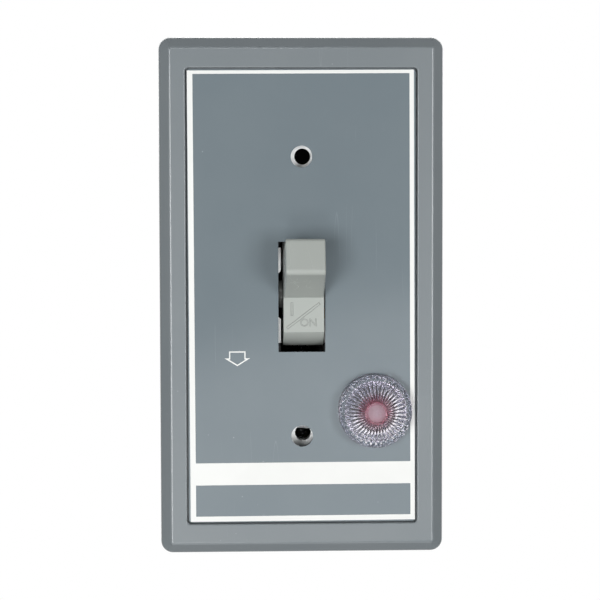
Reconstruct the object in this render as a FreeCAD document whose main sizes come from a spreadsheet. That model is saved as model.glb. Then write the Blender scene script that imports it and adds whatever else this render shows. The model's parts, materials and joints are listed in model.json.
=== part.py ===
import FreeCAD, Part
import os
import re
import Sketcher

# Manual motor starter: a wall box with bezel and cover plate, a two-pole toggle starter with a
# melting-alloy overload inside it, and a pilot light in the plate.
# Frame: X to the right, Z up, the front faces -Y, the wall face lies at Y = 0.
# "Out" is the distance out from the wall, so out = -Y.  All sizes are millimetres and degrees.

# Driving sizes, each written once
SIZES = {
    # Wall box of sheet steel
    "box_width": 57.7,
    "box_height": 107.85,
    "box_depth": 51.0,
    "box_wall": 1.5,
    "box_corner": 3.0,
    "box_back_edge": 2.0,
    # Knockouts: diameters of the disc and of the ring around it, shear gap, distance out from the wall
    "knockout_disc": 22.2,
    "knockout_ring": 28.2,
    "knockout_gap": 0.12,
    "knockout_out": 22.0,
    # Screw holes in the wall face
    "wall_hole": 4.8,
    "wall_hole_span_x": 36.0,
    "wall_hole_span_z": 84.0,
    # Ears of the box that carry the strap
    "ear_width": 14.0,
    "ear_thickness": 2.0,
    "ear_margin": 4.3,
    # Ground screw in the back of the box
    "ground_x": 8.5,
    "ground_edge": 7.5,
    "ground_shank": 4.0,
    "ground_head": 8.0,
    "ground_head_height": 2.6,
    # Bezel that slips over the box
    "bezel_wall": 1.6,
    "bezel_fit": 0.15,
    "bezel_ring": 3.6,
    "bezel_skirt": 12.0,
    "bezel_corner": 2.6,
    "bezel_slope": 2.3,
    "bezel_crease": 0.8,
    "bezel_shoulder": 1.5,
    "bezel_ledge": 2.5,
    "bezel_lip": 0.3,
    "recess_corner": 0.8,
    # Cover plate in the bezel's recess
    "plate_width": 49.0,
    "plate_height": 97.55,
    "plate_thickness": 1.2,
    "plate_play": 0.35,
    "plate_sunk": 0.8,
    "plate_corner": 0.6,
    "slot_width": 10.1,
    "slot_height": 23.8,
    "cover_hole": 4.65,
    "cover_hole_span": 60.3,
    # Mounting strap, set back from the front of the plate, and the play it is fitted with
    "strap_setback": 6.0,
    "strap_thickness": 1.5,
    "strap_width": 18.0,
    "strap_end_gap": 3.35,
    "strap_corner": 3.0,
    "strap_opening_width": 9.5,
    "strap_opening_height": 27.6,
    "strap_notch_width": 13.0,
    "strap_notch_height": 10.6,
    "strap_tab": 5.1,
    "strap_tapped": 3.5,
    "strap_boss": 6.0,
    "strap_boss_height": 1.5,
    "strap_slot": 4.8,
    "device_span": 83.3,
    "starter_x": 0.4,
    # Machine screws for the strap
    "screw_shank": 3.5,
    "screw_fit": 0.05,
    "screw_head": 7.0,
    "screw_head_height": 2.4,
    "screw_length": 12.0,
    "strap_screw_shank": 2.8,
    "strap_screw_head": 5.6,
    "strap_screw_step": 1.9,
    "strap_screw_length": 13.0,
    # Starter base: a slab with a walled contact chamber on it, closed by a fibre shield
    "base_width": 46.0,
    "base_height": 69.0,
    "slab_thickness": 12.0,
    "chamber_depth": 23.0,
    "shelf_height": 17.0,
    "chamber_wall": 2.5,
    "shield_thickness": 0.8,
    "shield_margin": 1.0,
    "cheek_gap": 10.8,
    "cheek_thickness": 3.0,
    "cheek_depth": 7.0,
    "boss_radius": 2.9,
    "rail_width": 0.9,
    "rail_depth": 1.2,
    "rail_play": 0.3,
    # Toggle: throw above the level, lengths measured from its pivot along the lever
    "on_angle": 23.5,
    "pivot_setback": 10.0,
    "toggle_width": 8.7,
    "lever_tip": 23.7,
    "lever_tip_width": 8.4,
    "lever_tip_height": 8.1,
    "lever_root": 10.0,
    "lever_root_height": 8.95,
    "lever_edge": 0.35,
    "lever_nose": 1.0,
    "facet_slope_out": 5.0,
    "facet_slope_up": 11.42,
    "drum_radius": 12.1,
    "drum_out": 2.6,
    "drum_back": 1.2,
    "hub_radius": 3.0,
    "hub_play": 0.2,
    "pin_radius": 1.5,
    "pin_fit": 0.03,
    "pivot_fit": 0.06,
    "tail_length": 8.0,
    "tail_thickness": 2.4,
    "tail_width": 7.0,
    "finger_radius": 2.0,
    # Contact carrier
    "fork_play": 0.3,
    "fork_lip": 3.0,
    "fork_width": 9.6,
    "fork_front": 6.0,
    "fork_floor": 11.0,
    "fork_back": 17.0,
    "crossbar_thickness": 3.6,
    "crossbar_front": 11.0,
    "crossbar_back": 19.0,
    "stirrup_x": 12.5,
    "stirrup_width": 5.0,
    "stirrup_drop": 7.8,
    "stirrup_bar": 1.5,
    "stirrup_leg": 1.6,
    "contact_wipe": 1.1,
    # Bridges, tips and fixed contacts
    "bridge_length": 13.6,
    "bridge_width": 4.4,
    "bridge_thickness": 1.0,
    "tip_radius": 1.6,
    "tip_thickness": 0.8,
    "tip_spread": 5.0,
    "closed_gap": 0.1,
    "strip_width": 4.0,
    "strip_thickness": 1.0,
    "strip_play": 0.1,
    "pad_depth": 5.0,
    # Terminals
    "line_terminal_x": 15.0,
    "line_terminal_edge": 7.5,
    "load_terminal_edge": 5.3,
    "terminal_plate": 9.0,
    "terminal_shank": 4.0,
    "terminal_head": 6.0,
    "terminal_head_height": 2.2,
    "terminal_length": 9.0,
    "clamp_side": 7.0,
    "clamp_thickness": 1.0,
    # Overload: solder pot, heater, ratchet wheel and trip pawl
    "pot_x": 8.0,
    "pot_edge": 5.5,
    "pot_radius": 3.0,
    "pot_bore": 1.3,
    "pot_height": 13.0,
    "pot_spigot_radius": 2.0,
    "pot_spigot": 4.0,
    "heater_radius": 4.0,
    "heater_wire": 0.5,
    "heater_pitch": 1.8,
    "heater_length": 9.0,
    "heater_lift": 2.5,
    "heater_tab": 1.8,
    "heater_screw_step": 3.4,
    "wheel_radius": 4.5,
    "wheel_root": 3.4,
    "wheel_thickness": 3.0,
    "wheel_teeth": 12,
    "wheel_shaft": 1.2,
    "wheel_shaft_length": 11.0,
    "wheel_lift": 0.5,
    "pawl_centres": 14.0,
    "pawl_clearance": 0.3,
    "pawl_tooth": 1.7,
    "pawl_tooth_half": 1.19,
    "pawl_half": 1.6,
    "pawl_hub": 2.5,
    "pawl_thickness": 2.6,
    "pawl_lift": 0.2,
    "pawl_pin_radius": 1.25,
    "pawl_pin_collar": 2.2,
    "pawl_pin_root": 6.0,
    "pawl_pin_head": 2.0,
    "trip_rib_width": 4.0,
    "trip_rib": 1.5,
    # Coil springs: radius of the coil, radius of the wire, pitch
    "carrier_spring_radius": 2.2,
    "carrier_spring_wire": 0.35,
    "carrier_spring_pitch": 1.3,
    "contact_spring_radius": 1.6,
    "contact_spring_wire": 0.3,
    "contact_spring_pitch": 1.2,
    "trip_spring_radius": 1.0,
    "trip_spring_wire": 0.2,
    "trip_spring_pitch": 0.7,
    # Pilot light
    "pilot_x": 15.72,
    "pilot_step": 7.1,
    "lens_radius": 8.0,
    "lens_rim": 3.6,
    "lens_height": 7.0,
    "lens_flat": 2.1,
    "lens_wall": 1.4,
    "lens_shoulder": 2.6,
    "lens_nose": 0.4,
    "shank_radius": 5.3,
    "shank_bore": 4.3,
    "shank_length": 7.8,
    "pilot_fit": 0.05,
    "nut_flats": 12.7,
    "nut_thickness": 2.4,
    "holder_radius": 5.2,
    "holder_back": 12.8,
    "holder_spigot": 3.2,
    "lamp_radius": 2.6,
    "lamp_length": 7.5,
    "lamp_cap_radius": 3.6,
    "lamp_cap_length": 7.6,
    "lamp_cap_edge": 2.0,
    "lead_radius": 0.7,
    "lead_bend": 3.0,
    "lead_spread": 2.0,
    "lead_step": 2.4,
    "lead_level": 17.3,
    "lead_end_x": 13.3,
}

# Positions worked out from the sizes; "out" values are distances out from the wall
PLACES = {
    "bezel_front": "box_depth + bezel_ring",
    "bezel_width": "box_width + 2 * (bezel_fit + bezel_wall)",
    "bezel_height": "box_height + 2 * (bezel_fit + bezel_wall)",
    "recess_width": "plate_width + 2 * plate_play",
    "recess_height": "plate_height + 2 * plate_play",
    "plate_front": "bezel_front - plate_sunk",
    "plate_back": "plate_front - plate_thickness",
    "strap_front": "plate_front - strap_setback",
    "strap_back": "strap_front - strap_thickness",
    "shield_back": "strap_back - shield_thickness",
    "floor_out": "shield_back - chamber_depth",
    "slab_back": "floor_out - slab_thickness",
    "ground_z": "box_height / 2 - ground_edge",
    "strap_length": "box_height - 2 * (box_wall + strap_end_gap)",
    "tab_end": "strap_notch_height / 2 + strap_tab",
    "opening_end": "strap_opening_height / 2",
    "chamber_height": "base_height - 2 * shelf_height",
    "strap_screw_z": "chamber_height / 2 + strap_screw_step",
    "chamber_half": "chamber_height / 2 - chamber_wall",
    "chamber_side": "base_width / 2 - chamber_wall",
    "pivot_out": "plate_front - pivot_setback",
    "cheek_outer": "cheek_gap / 2 + cheek_thickness",
    "finger_z": "-tail_length * sin(on_angle)",
    "fork_half": "finger_radius + fork_play + fork_lip",
    "crossbar_top": "finger_z + fork_half",
    "crossbar_bottom": "crossbar_top - crossbar_thickness",
    "crossbar_middle": "pivot_out - (crossbar_front + crossbar_back) / 2",
    "stirrup_bottom": "finger_z - stirrup_drop",
    "bridge_z": "stirrup_bottom + stirrup_bar + contact_wipe",
    "fixed_tip_top": "bridge_z - tip_thickness - closed_gap",
    "pad_top": "fixed_tip_top - tip_thickness",
    "pad_bottom": "pad_top - strip_thickness",
    "inner_strip": "stirrup_x - tip_spread - strip_width / 2",
    "outer_strip": "stirrup_x + tip_spread - strip_width / 2",
    "slab_edge": "base_height / 2 - strip_thickness",
    "line_terminal_z": "base_height / 2 - line_terminal_edge",
    "load_terminal_z": "base_height / 2 - load_terminal_edge",
    "heater_screw_z": "chamber_height / 2 + heater_screw_step",
    "pot_z": "base_height / 2 - pot_edge",
    "pilot_z": "chamber_height / 2 + pilot_step",
    "lead_z": "heater_screw_z + lead_step",
    "pot_top": "floor_out + pot_height",
    "wheel_out": "pot_top + wheel_lift",
    "pawl_out": "wheel_out + pawl_lift",
    "pawl_top": "pawl_out + pawl_thickness",
    "pawl_x": "pawl_centres - pot_x",
    "heater_out": "floor_out + heater_lift",
    "tab_reach": "pot_x + heater_radius - heater_wire",
    "holder_end": "plate_front - holder_back",
    "lead_out": "plate_front - lead_level",
}

doc = FreeCAD.newDocument("motor_starter")
dims = doc.addObject("Spreadsheet::Sheet", "dims")
places = doc.addObject("Spreadsheet::Sheet", "places")


def expression(text):
    """Put the sheet's name in front of every size and place named in a formula."""
    def with_sheet(match):
        word = match.group(0)
        if word in SIZES:
            return "dims." + word
        if word in PLACES:
            return "places." + word
        return word
    return re.sub(r"[a-z][a-z_]*", with_sheet, text)


def fill_sheets():
    for row, (name, number) in enumerate(SIZES.items(), 1):
        dims.set(f"A{row}", name)
        dims.set(f"B{row}", str(number))
        dims.setAlias(f"B{row}", name)
    doc.recompute()
    for row, (name, formula) in enumerate(PLACES.items(), 1):
        places.set(f"A{row}", name)
        places.set(f"B{row}", "=" + expression(formula))
        places.setAlias(f"B{row}", name)
    doc.recompute()


fill_sheets()
vector = FreeCAD.Vector
TURN_FRONT = FreeCAD.Rotation(vector(1, 0, 0), 90)
TURN_SIDE = FreeCAD.Rotation(vector(0, 1, 0), 90)
NO_TURN = FreeCAD.Rotation()
# Share of a turn that each edge of a coil's helix covers
TURN_SHARE = 0.25


def value(text):
    """Number of a formula, for starting geometry that constraints then hold."""
    return float(doc.getObject("dims").evalExpression(expression(text)))


def bind(thing, prop, text):
    thing.setExpression(prop, expression(text))


# Placing and joining


def place(thing, x, out, z, turn=NO_TURN):
    """Stand a shape at x, out and z given as formulas."""
    thing.Placement = FreeCAD.Placement(vector(), turn)
    bind(thing, "Placement.Base.x", x)
    bind(thing, "Placement.Base.y", f"-({out})")
    bind(thing, "Placement.Base.z", z)
    return thing


def block(name, x, out, z):
    """Box from three (low, high) pairs of formulas."""
    made = doc.addObject("Part::Box", name)
    bind(made, "Length", f"({x[1]}) - ({x[0]})")
    bind(made, "Width", f"({out[1]}) - ({out[0]})")
    bind(made, "Height", f"({z[1]}) - ({z[0]})")
    return place(made, x[0], out[1], z[0])


def rod(name, radius, x, out, z, turn, length):
    made = doc.addObject("Part::Cylinder", name)
    bind(made, "Radius", radius)
    bind(made, "Height", length)
    return place(made, x, out, z, turn)


def rod_out(name, radius, x, out, z):
    """Cylinder from out[0] to out[1] along the way out from the wall."""
    return rod(name, radius, x, out[0], z, TURN_FRONT, f"({out[1]}) - ({out[0]})")


def rod_across(name, radius, x, out, z):
    """Cylinder from x[0] to x[1]."""
    return rod(name, radius, x[0], out, z, TURN_SIDE, f"({x[1]}) - ({x[0]})")


def rod_up(name, radius, x, out, z):
    """Cylinder from z[0] to z[1]."""
    return rod(name, radius, x, out, z[0], NO_TURN, f"({z[1]}) - ({z[0]})")


def fuse(name, shapes):
    made = doc.addObject("Part::MultiFuse", name)
    made.Shapes = shapes
    made.Refine = True
    return made


def cut(name, base, tools):
    made = doc.addObject("Part::Cut", name)
    made.Base = base
    made.Tool = tools[0] if len(tools) == 1 else fuse(name + "_tools", tools)
    made.Refine = True
    return made


def group(name, shapes):
    """Like pieces that share one node, each still its own solid."""
    made = doc.addObject("Part::Compound", name)
    made.Links = shapes
    return made


def starter(text):
    """X position measured from the starter's own middle."""
    return f"starter_x + ({text})"


def beside(side, low, high):
    """(low, high) pair on the right (+1) or the left (-1) of the starter's middle."""
    if side > 0:
        return (starter(low), starter(high))
    return (starter(f"-({high})"), starter(f"-({low})"))


def about(middle, width):
    return (f"{middle} - ({width}) / 2", f"{middle} + ({width}) / 2")


# Sketch features


def new_body(name):
    return doc.addObject("PartDesign::Body", name)


def sketch_on(body, name, role, offset="0"):
    made = body.newObject("Sketcher::SketchObject", name)
    plane = next(one for one in body.Origin.OriginFeatures if one.Role == role)
    made.AttachmentSupport = [(plane, "")]
    made.MapMode = "FlatFace"
    bind(made, "AttachmentOffset.Base.z", offset)
    return made


def hold(sketch, constraint, text):
    index = sketch.addConstraint(constraint)
    bind(sketch, f"Constraints[{index}]", text)


def outline(sketch, points):
    """Closed outline whose corners are pairs of formulas."""
    corners = [vector(value(across), value(up), 0) for across, up in points]
    first = sketch.GeometryCount
    for index, corner in enumerate(corners):
        sketch.addGeometry(Part.LineSegment(corner, corners[(index + 1) % len(corners)]), False)
    for index, corner in enumerate(corners):
        following = first + (index + 1) % len(corners)
        sketch.addConstraint(Sketcher.Constraint("Coincident", first + index, 2, following, 1))
    for index, (across, up) in enumerate(points):
        corner = corners[index]
        hold(sketch, Sketcher.Constraint("DistanceX", first + index, 1, corner.x), across)
        hold(sketch, Sketcher.Constraint("DistanceY", first + index, 1, corner.y), up)
    return sketch


def rectangle(sketch, width, height):
    """Rectangle about the sketch's origin."""
    return outline(sketch, [
        (f"-({width}) / 2", f"-({height}) / 2"),
        (f"({width}) / 2", f"-({height}) / 2"),
        (f"({width}) / 2", f"({height}) / 2"),
        (f"-({width}) / 2", f"({height}) / 2"),
    ])


def circle(sketch, across, up, diameter):
    middle = vector(value(across), value(up), 0)
    index = sketch.addGeometry(Part.Circle(middle, vector(0, 0, 1), value(diameter) / 2), False)
    hold(sketch, Sketcher.Constraint("DistanceX", index, 3, middle.x), across)
    hold(sketch, Sketcher.Constraint("DistanceY", index, 3, middle.y), up)
    hold(sketch, Sketcher.Constraint("Diameter", index, value(diameter)), diameter)


def pad(body, sketch, length, midplane=False):
    made = body.newObject("PartDesign::Pad", sketch.Name + "_pad")
    made.Profile = sketch
    made.Midplane = midplane
    bind(made, "Length", length)
    sketch.Visibility = False
    doc.recompute()
    return made


def pocket(body, sketch, length, toward_front=False):
    """Pocket that runs from the sketch toward the wall, or toward the front."""
    made = body.newObject("PartDesign::Pocket", sketch.Name + "_pocket")
    made.Profile = sketch
    made.Reversed = toward_front
    bind(made, "Length", length)
    sketch.Visibility = False
    doc.recompute()
    return made


def revolve(body, sketch):
    made = body.newObject("PartDesign::Revolution", sketch.Name + "_turn")
    made.Profile = sketch
    made.ReferenceAxis = (sketch, ["V_Axis"])
    made.Angle = 360
    sketch.Visibility = False
    doc.recompute()
    return made


def edge_feature(body, kind, name, wanted):
    """Feature on the edges of the body's last feature that pass the test."""
    base = body.Tip
    edges = [f"Edge{index}" for index, edge in enumerate(base.Shape.Edges, 1) if wanted(edge)]
    made = body.newObject(kind, name)
    made.Base = (base, edges)
    return made


def round_edges(body, name, radius, wanted):
    made = edge_feature(body, "PartDesign::Fillet", name, wanted)
    bind(made, "Radius", radius)
    doc.recompute()
    return made


def slope_edges(body, name, size, wanted):
    made = edge_feature(body, "PartDesign::Chamfer", name, wanted)
    bind(made, "Size", size)
    doc.recompute()
    return made


def runs_out(edge):
    """Straight edge along the way out from the wall."""
    start, end = edge.Vertexes[0].Point, edge.Vertexes[-1].Point
    return abs(start.x - end.x) < 1e-4 and abs(start.z - end.z) < 1e-4 and len(edge.Vertexes) == 2


def at_out(text):
    """Test for edges that lie wholly at one distance out from the wall."""
    level = -value(text)

    def lies_there(edge):
        return abs(edge.BoundBox.YMin - level) < 1e-4 and abs(edge.BoundBox.YMax - level) < 1e-4
    return lies_there


def both(first, second):
    return lambda edge: first(edge) and second(edge)


def within(x_limit, z_limit):
    """Test for edges inside a window about the middle."""
    half_x = value(x_limit) / 2 + 1e-3
    half_z = value(z_limit) / 2 + 1e-3

    def inside(edge):
        box = edge.BoundBox
        return max(-box.XMin, box.XMax) < half_x and max(-box.ZMin, box.ZMax) < half_z
    return inside


def coil(name, radius, wire, pitch, length):
    """Round-wire helix along Z from the origin, its wire kept inside the length."""
    path = doc.addObject("Part::Helix", name + "_path")
    path.SegmentLength = TURN_SHARE
    bind(path, "Radius", radius)
    bind(path, "Pitch", pitch)
    bind(path, "Height", f"({length}) - 2 * {wire}")
    section = doc.addObject("Part::Circle", name + "_wire")
    bind(section, "Radius", wire)
    section.Placement = FreeCAD.Placement(vector(), TURN_FRONT)
    bind(section, "Placement.Base.x", radius)
    doc.recompute()
    made = doc.addObject("Part::Sweep", name)
    made.Sections = [section]
    made.Spine = (path, [f"Edge{index}" for index in range(1, len(path.Shape.Edges) + 1)])
    made.Solid = True
    made.Frenet = True
    return made


def screw(name, shank, length, head, head_height, x, seat, z):
    """Round-headed screw driven toward the wall, its head standing on the seat, with a driver slot."""
    body_rod = rod_out(name + "_shank", f"{shank} / 2", x, (f"{seat} - {length}", seat), z)
    head_rod = rod_out(name + "_head", f"{head} / 2", x, (seat, f"{seat} + {head_height}"), z)
    groove_out = (f"{seat} + {head_height} * 0.55", f"{seat} + {head_height} * 2")
    groove = block(name + "_groove", about(x, head + " * 1.2"), groove_out, about(z, head + " * 0.16"))
    return cut(name, fuse(name + "_blank", [body_rod, head_rod]), [groove])


# Enclosure


def make_back_box():
    """Sheet-steel box with knockout holes, wall screw holes and two tapped ears."""
    body = new_body("box_shell")
    pad(body, rectangle(sketch_on(body, "box_outline", "XZ_Plane"), "box_width", "box_height"), "box_depth")
    round_edges(body, "box_corners", "box_corner", runs_out)
    round_edges(body, "box_back_edges", "box_back_edge", at_out("0"))
    inside = sketch_on(body, "box_inside", "XZ_Plane", "box_depth")
    rectangle(inside, "box_width - 2 * box_wall", "box_height - 2 * box_wall")
    pocket(body, inside, "box_depth - box_wall")
    inner = within("box_width - 2 * box_wall", "box_height - 2 * box_wall")
    round_edges(body, "box_inner_corners", "box_corner - box_wall", both(runs_out, inner))
    shells = [body]
    holes = []
    for end in (1, -1):
        inner_z = f"{end} * (box_height / 2 - box_wall / 2)"
        tip_z = f"{end} * (device_span / 2 - ear_margin)"
        span = (tip_z, inner_z) if end > 0 else (inner_z, tip_z)
        ear_out = ("strap_back - ear_thickness", "strap_back")
        shells.append(block(f"ear_{end + 1}", about("0", "ear_width"), ear_out, span))
        drill = ("strap_back - 2 * ear_thickness", "strap_back + ear_thickness")
        holes.append(rod_out(f"ear_hole_{end + 1}", "screw_shank / 2 + screw_fit", "0", drill,
                             f"{end} * device_span / 2"))
        through = (f"{end} * box_height / 2 - 2 * box_wall", f"{end} * box_height / 2 + 2 * box_wall")
        holes.append(rod_up(f"knockout_hole_{end + 1}", "knockout_ring / 2", "0", "knockout_out", through))
        for side in (1, -1):
            holes.append(rod_out(f"wall_hole_{end + 1}_{side + 1}", "wall_hole / 2",
                                 f"{side} * wall_hole_span_x / 2", ("-box_wall", "2 * box_wall"),
                                 f"{end} * wall_hole_span_z / 2"))
    holes.append(rod_out("back_knockout_hole", "knockout_disc / 2", "0", ("-box_wall", "2 * box_wall"), "0"))
    holes.append(rod_out("ground_hole", "ground_shank / 2 + screw_fit", "-ground_x",
                         ("-box_wall", "2 * box_wall"), "-ground_z"))
    return cut("back_box", fuse("box_with_ears", shells), holes)


def make_knockout_discs():
    discs = []
    for end in (1, -1):
        low, high = f"{end} * (box_height / 2 - box_wall)", f"{end} * box_height / 2"
        span = (low, high) if end > 0 else (high, low)
        discs.append(rod_up(f"disc_{end + 1}", "knockout_disc / 2 - knockout_gap", "0", "knockout_out", span))
    discs.append(rod_out("disc_back", "knockout_disc / 2 - knockout_gap", "0", ("0", "box_wall"), "0"))
    return group("knockout_discs", discs)


def make_knockout_rings():
    rings = []
    for end in (1, -1):
        low, high = f"{end} * (box_height / 2 - box_wall)", f"{end} * box_height / 2"
        span = (low, high) if end > 0 else (high, low)
        blank = rod_up(f"ring_blank_{end + 1}", "knockout_ring / 2 - knockout_gap", "0", "knockout_out", span)
        hole = rod_up(f"ring_hole_{end + 1}", "knockout_disc / 2", "0", "knockout_out", span)
        rings.append(cut(f"ring_{end + 1}", blank, [hole]))
    return group("knockout_rings", rings)


def make_front_bezel():
    """Frame with sloped and rounded outer edges, a skirt over the box and a sunk ledge for the plate."""
    body = new_body("front_bezel")
    skirt_back = "box_depth - bezel_skirt"
    frame = sketch_on(body, "bezel_outline", "XZ_Plane", skirt_back)
    pad(body, rectangle(frame, "bezel_width", "bezel_height"), "bezel_skirt + bezel_ring")
    round_edges(body, "bezel_corners", "bezel_corner", runs_out)
    slope_edges(body, "bezel_slopes", "bezel_slope", at_out("bezel_front"))
    round_edges(body, "bezel_creases", "bezel_crease", at_out("bezel_front"))
    round_edges(body, "bezel_shoulders", "bezel_shoulder", at_out("bezel_front - bezel_slope"))
    skirt = sketch_on(body, "bezel_hollow", "XZ_Plane", skirt_back)
    rectangle(skirt, "box_width + 2 * bezel_fit", "box_height + 2 * bezel_fit")
    pocket(body, skirt, "bezel_skirt", toward_front=True)
    window = sketch_on(body, "bezel_window", "XZ_Plane", "bezel_front")
    rectangle(window, "recess_width - 2 * bezel_ledge", "recess_height - 2 * bezel_ledge")
    pocket(body, window, "bezel_ring * 2")
    recess = sketch_on(body, "bezel_recess", "XZ_Plane", "bezel_front")
    rectangle(recess, "recess_width", "recess_height")
    pocket(body, recess, "plate_sunk + plate_thickness")
    in_recess = within("recess_width", "recess_height")
    round_edges(body, "recess_corners", "recess_corner", both(runs_out, in_recess))
    round_edges(body, "recess_lip", "bezel_lip", both(at_out("bezel_front"), in_recess))
    return body


def make_cover_plate():
    body = new_body("cover_plate")
    sheet = sketch_on(body, "plate_outline", "XZ_Plane", "plate_back")
    pad(body, rectangle(sheet, "plate_width", "plate_height"), "plate_thickness")
    round_edges(body, "plate_corners", "plate_corner", runs_out)
    openings = sketch_on(body, "plate_openings", "XZ_Plane", "plate_front")
    rectangle(openings, "slot_width", "slot_height")
    circle(openings, "0", "cover_hole_span / 2", "cover_hole")
    circle(openings, "0", "-cover_hole_span / 2", "cover_hole")
    circle(openings, "pilot_x", "-pilot_z", "2 * (shank_radius + pilot_fit)")
    pocket(body, openings, "plate_thickness * 2")
    return body


def make_ground_screw():
    return screw("ground_screw", "ground_shank", "box_wall", "ground_head",
                 "ground_head_height", "-ground_x", "box_wall", "-ground_z")


# Strap and starter body


def make_mounting_strap():
    """Zinc-plated strap with a tabbed toggle opening, two tapped cover-screw bosses and two device holes."""
    body = new_body("strap_blank")
    bar = sketch_on(body, "strap_outline", "XZ_Plane", "strap_back")
    pad(body, rectangle(bar, "strap_width", "strap_length"), "strap_thickness")
    round_edges(body, "strap_corners", "strap_corner", runs_out)
    openings = sketch_on(body, "strap_openings", "XZ_Plane", "strap_front")
    rectangle(openings, "strap_opening_width", "strap_opening_height")
    pocket(body, openings, "strap_thickness * 2")
    notch = sketch_on(body, "strap_notch", "XZ_Plane", "strap_front")
    slope = "(strap_notch_width - strap_opening_width) / 2"
    upper = [("strap_opening_width / 2", "strap_notch_height / 2"),
             ("strap_notch_width / 2", f"strap_notch_height / 2 - {slope}")]
    right = upper + [(x, f"-({z})") for x, z in reversed(upper)]
    outline(notch, right + [(f"-({x})", z) for x, z in reversed(right)])
    pocket(body, notch, "strap_thickness * 2")
    place(body, "starter_x", "0", "0")
    solids = [body]
    holes = []
    for end in (1, -1):
        z = f"{end} * cover_hole_span / 2"
        boss = ("strap_back - strap_boss_height", "strap_back + strap_thickness / 2")
        solids.append(rod_out(f"strap_boss_{end + 1}", "strap_boss / 2", "starter_x", boss, z))
        drill = ("strap_back - 2 * strap_boss_height", "strap_front + strap_thickness")
        relief = about(f"{end} * (tab_end + opening_end) / 2", "opening_end - tab_end")
        holes.append(block(f"strap_relief_{end + 1}", about("starter_x", "strap_notch_width"), drill, relief))
        holes.append(rod_out(f"strap_tap_{end + 1}", "strap_tapped / 2", "starter_x", drill, z))
        holes.append(rod_out(f"strap_slot_{end + 1}", "strap_slot / 2", "starter_x", drill,
                             f"{end} * device_span / 2"))
        holes.append(rod_out(f"strap_screw_hole_{end + 1}", "strap_screw_shank / 2 + screw_fit", "starter_x",
                             drill, f"{end} * strap_screw_z"))
    return cut("mounting_strap", fuse("strap_with_bosses", solids), holes)


def make_device_screws():
    made = []
    for end in (1, -1):
        made.append(screw(f"device_screw_{end + 1}", "screw_shank", "screw_length", "screw_head",
                          "screw_head_height", "0", "strap_front", f"{end} * device_span / 2"))
    return group("device_screws", made)


def make_strap_screws():
    made = []
    for end in (1, -1):
        made.append(screw(f"strap_screw_{end + 1}", "strap_screw_shank", "strap_screw_length",
                          "strap_screw_head", "screw_head_height", "starter_x", "strap_front",
                          f"{end} * strap_screw_z"))
    return group("strap_screws", made)


TERMINALS = {
    "line_right": ("line_terminal_x", "line_terminal_z", "floor_out + strip_thickness"),
    "line_left": ("-line_terminal_x", "line_terminal_z", "floor_out + strip_thickness"),
    "load_right": ("stirrup_x + tip_spread", "-load_terminal_z", "floor_out + strip_thickness"),
    "load_left": ("-(stirrup_x + tip_spread)", "-load_terminal_z", "floor_out + heater_tab"),
    "heater": ("-(stirrup_x + tip_spread)", "-heater_screw_z", "floor_out + heater_tab"),
}


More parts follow.
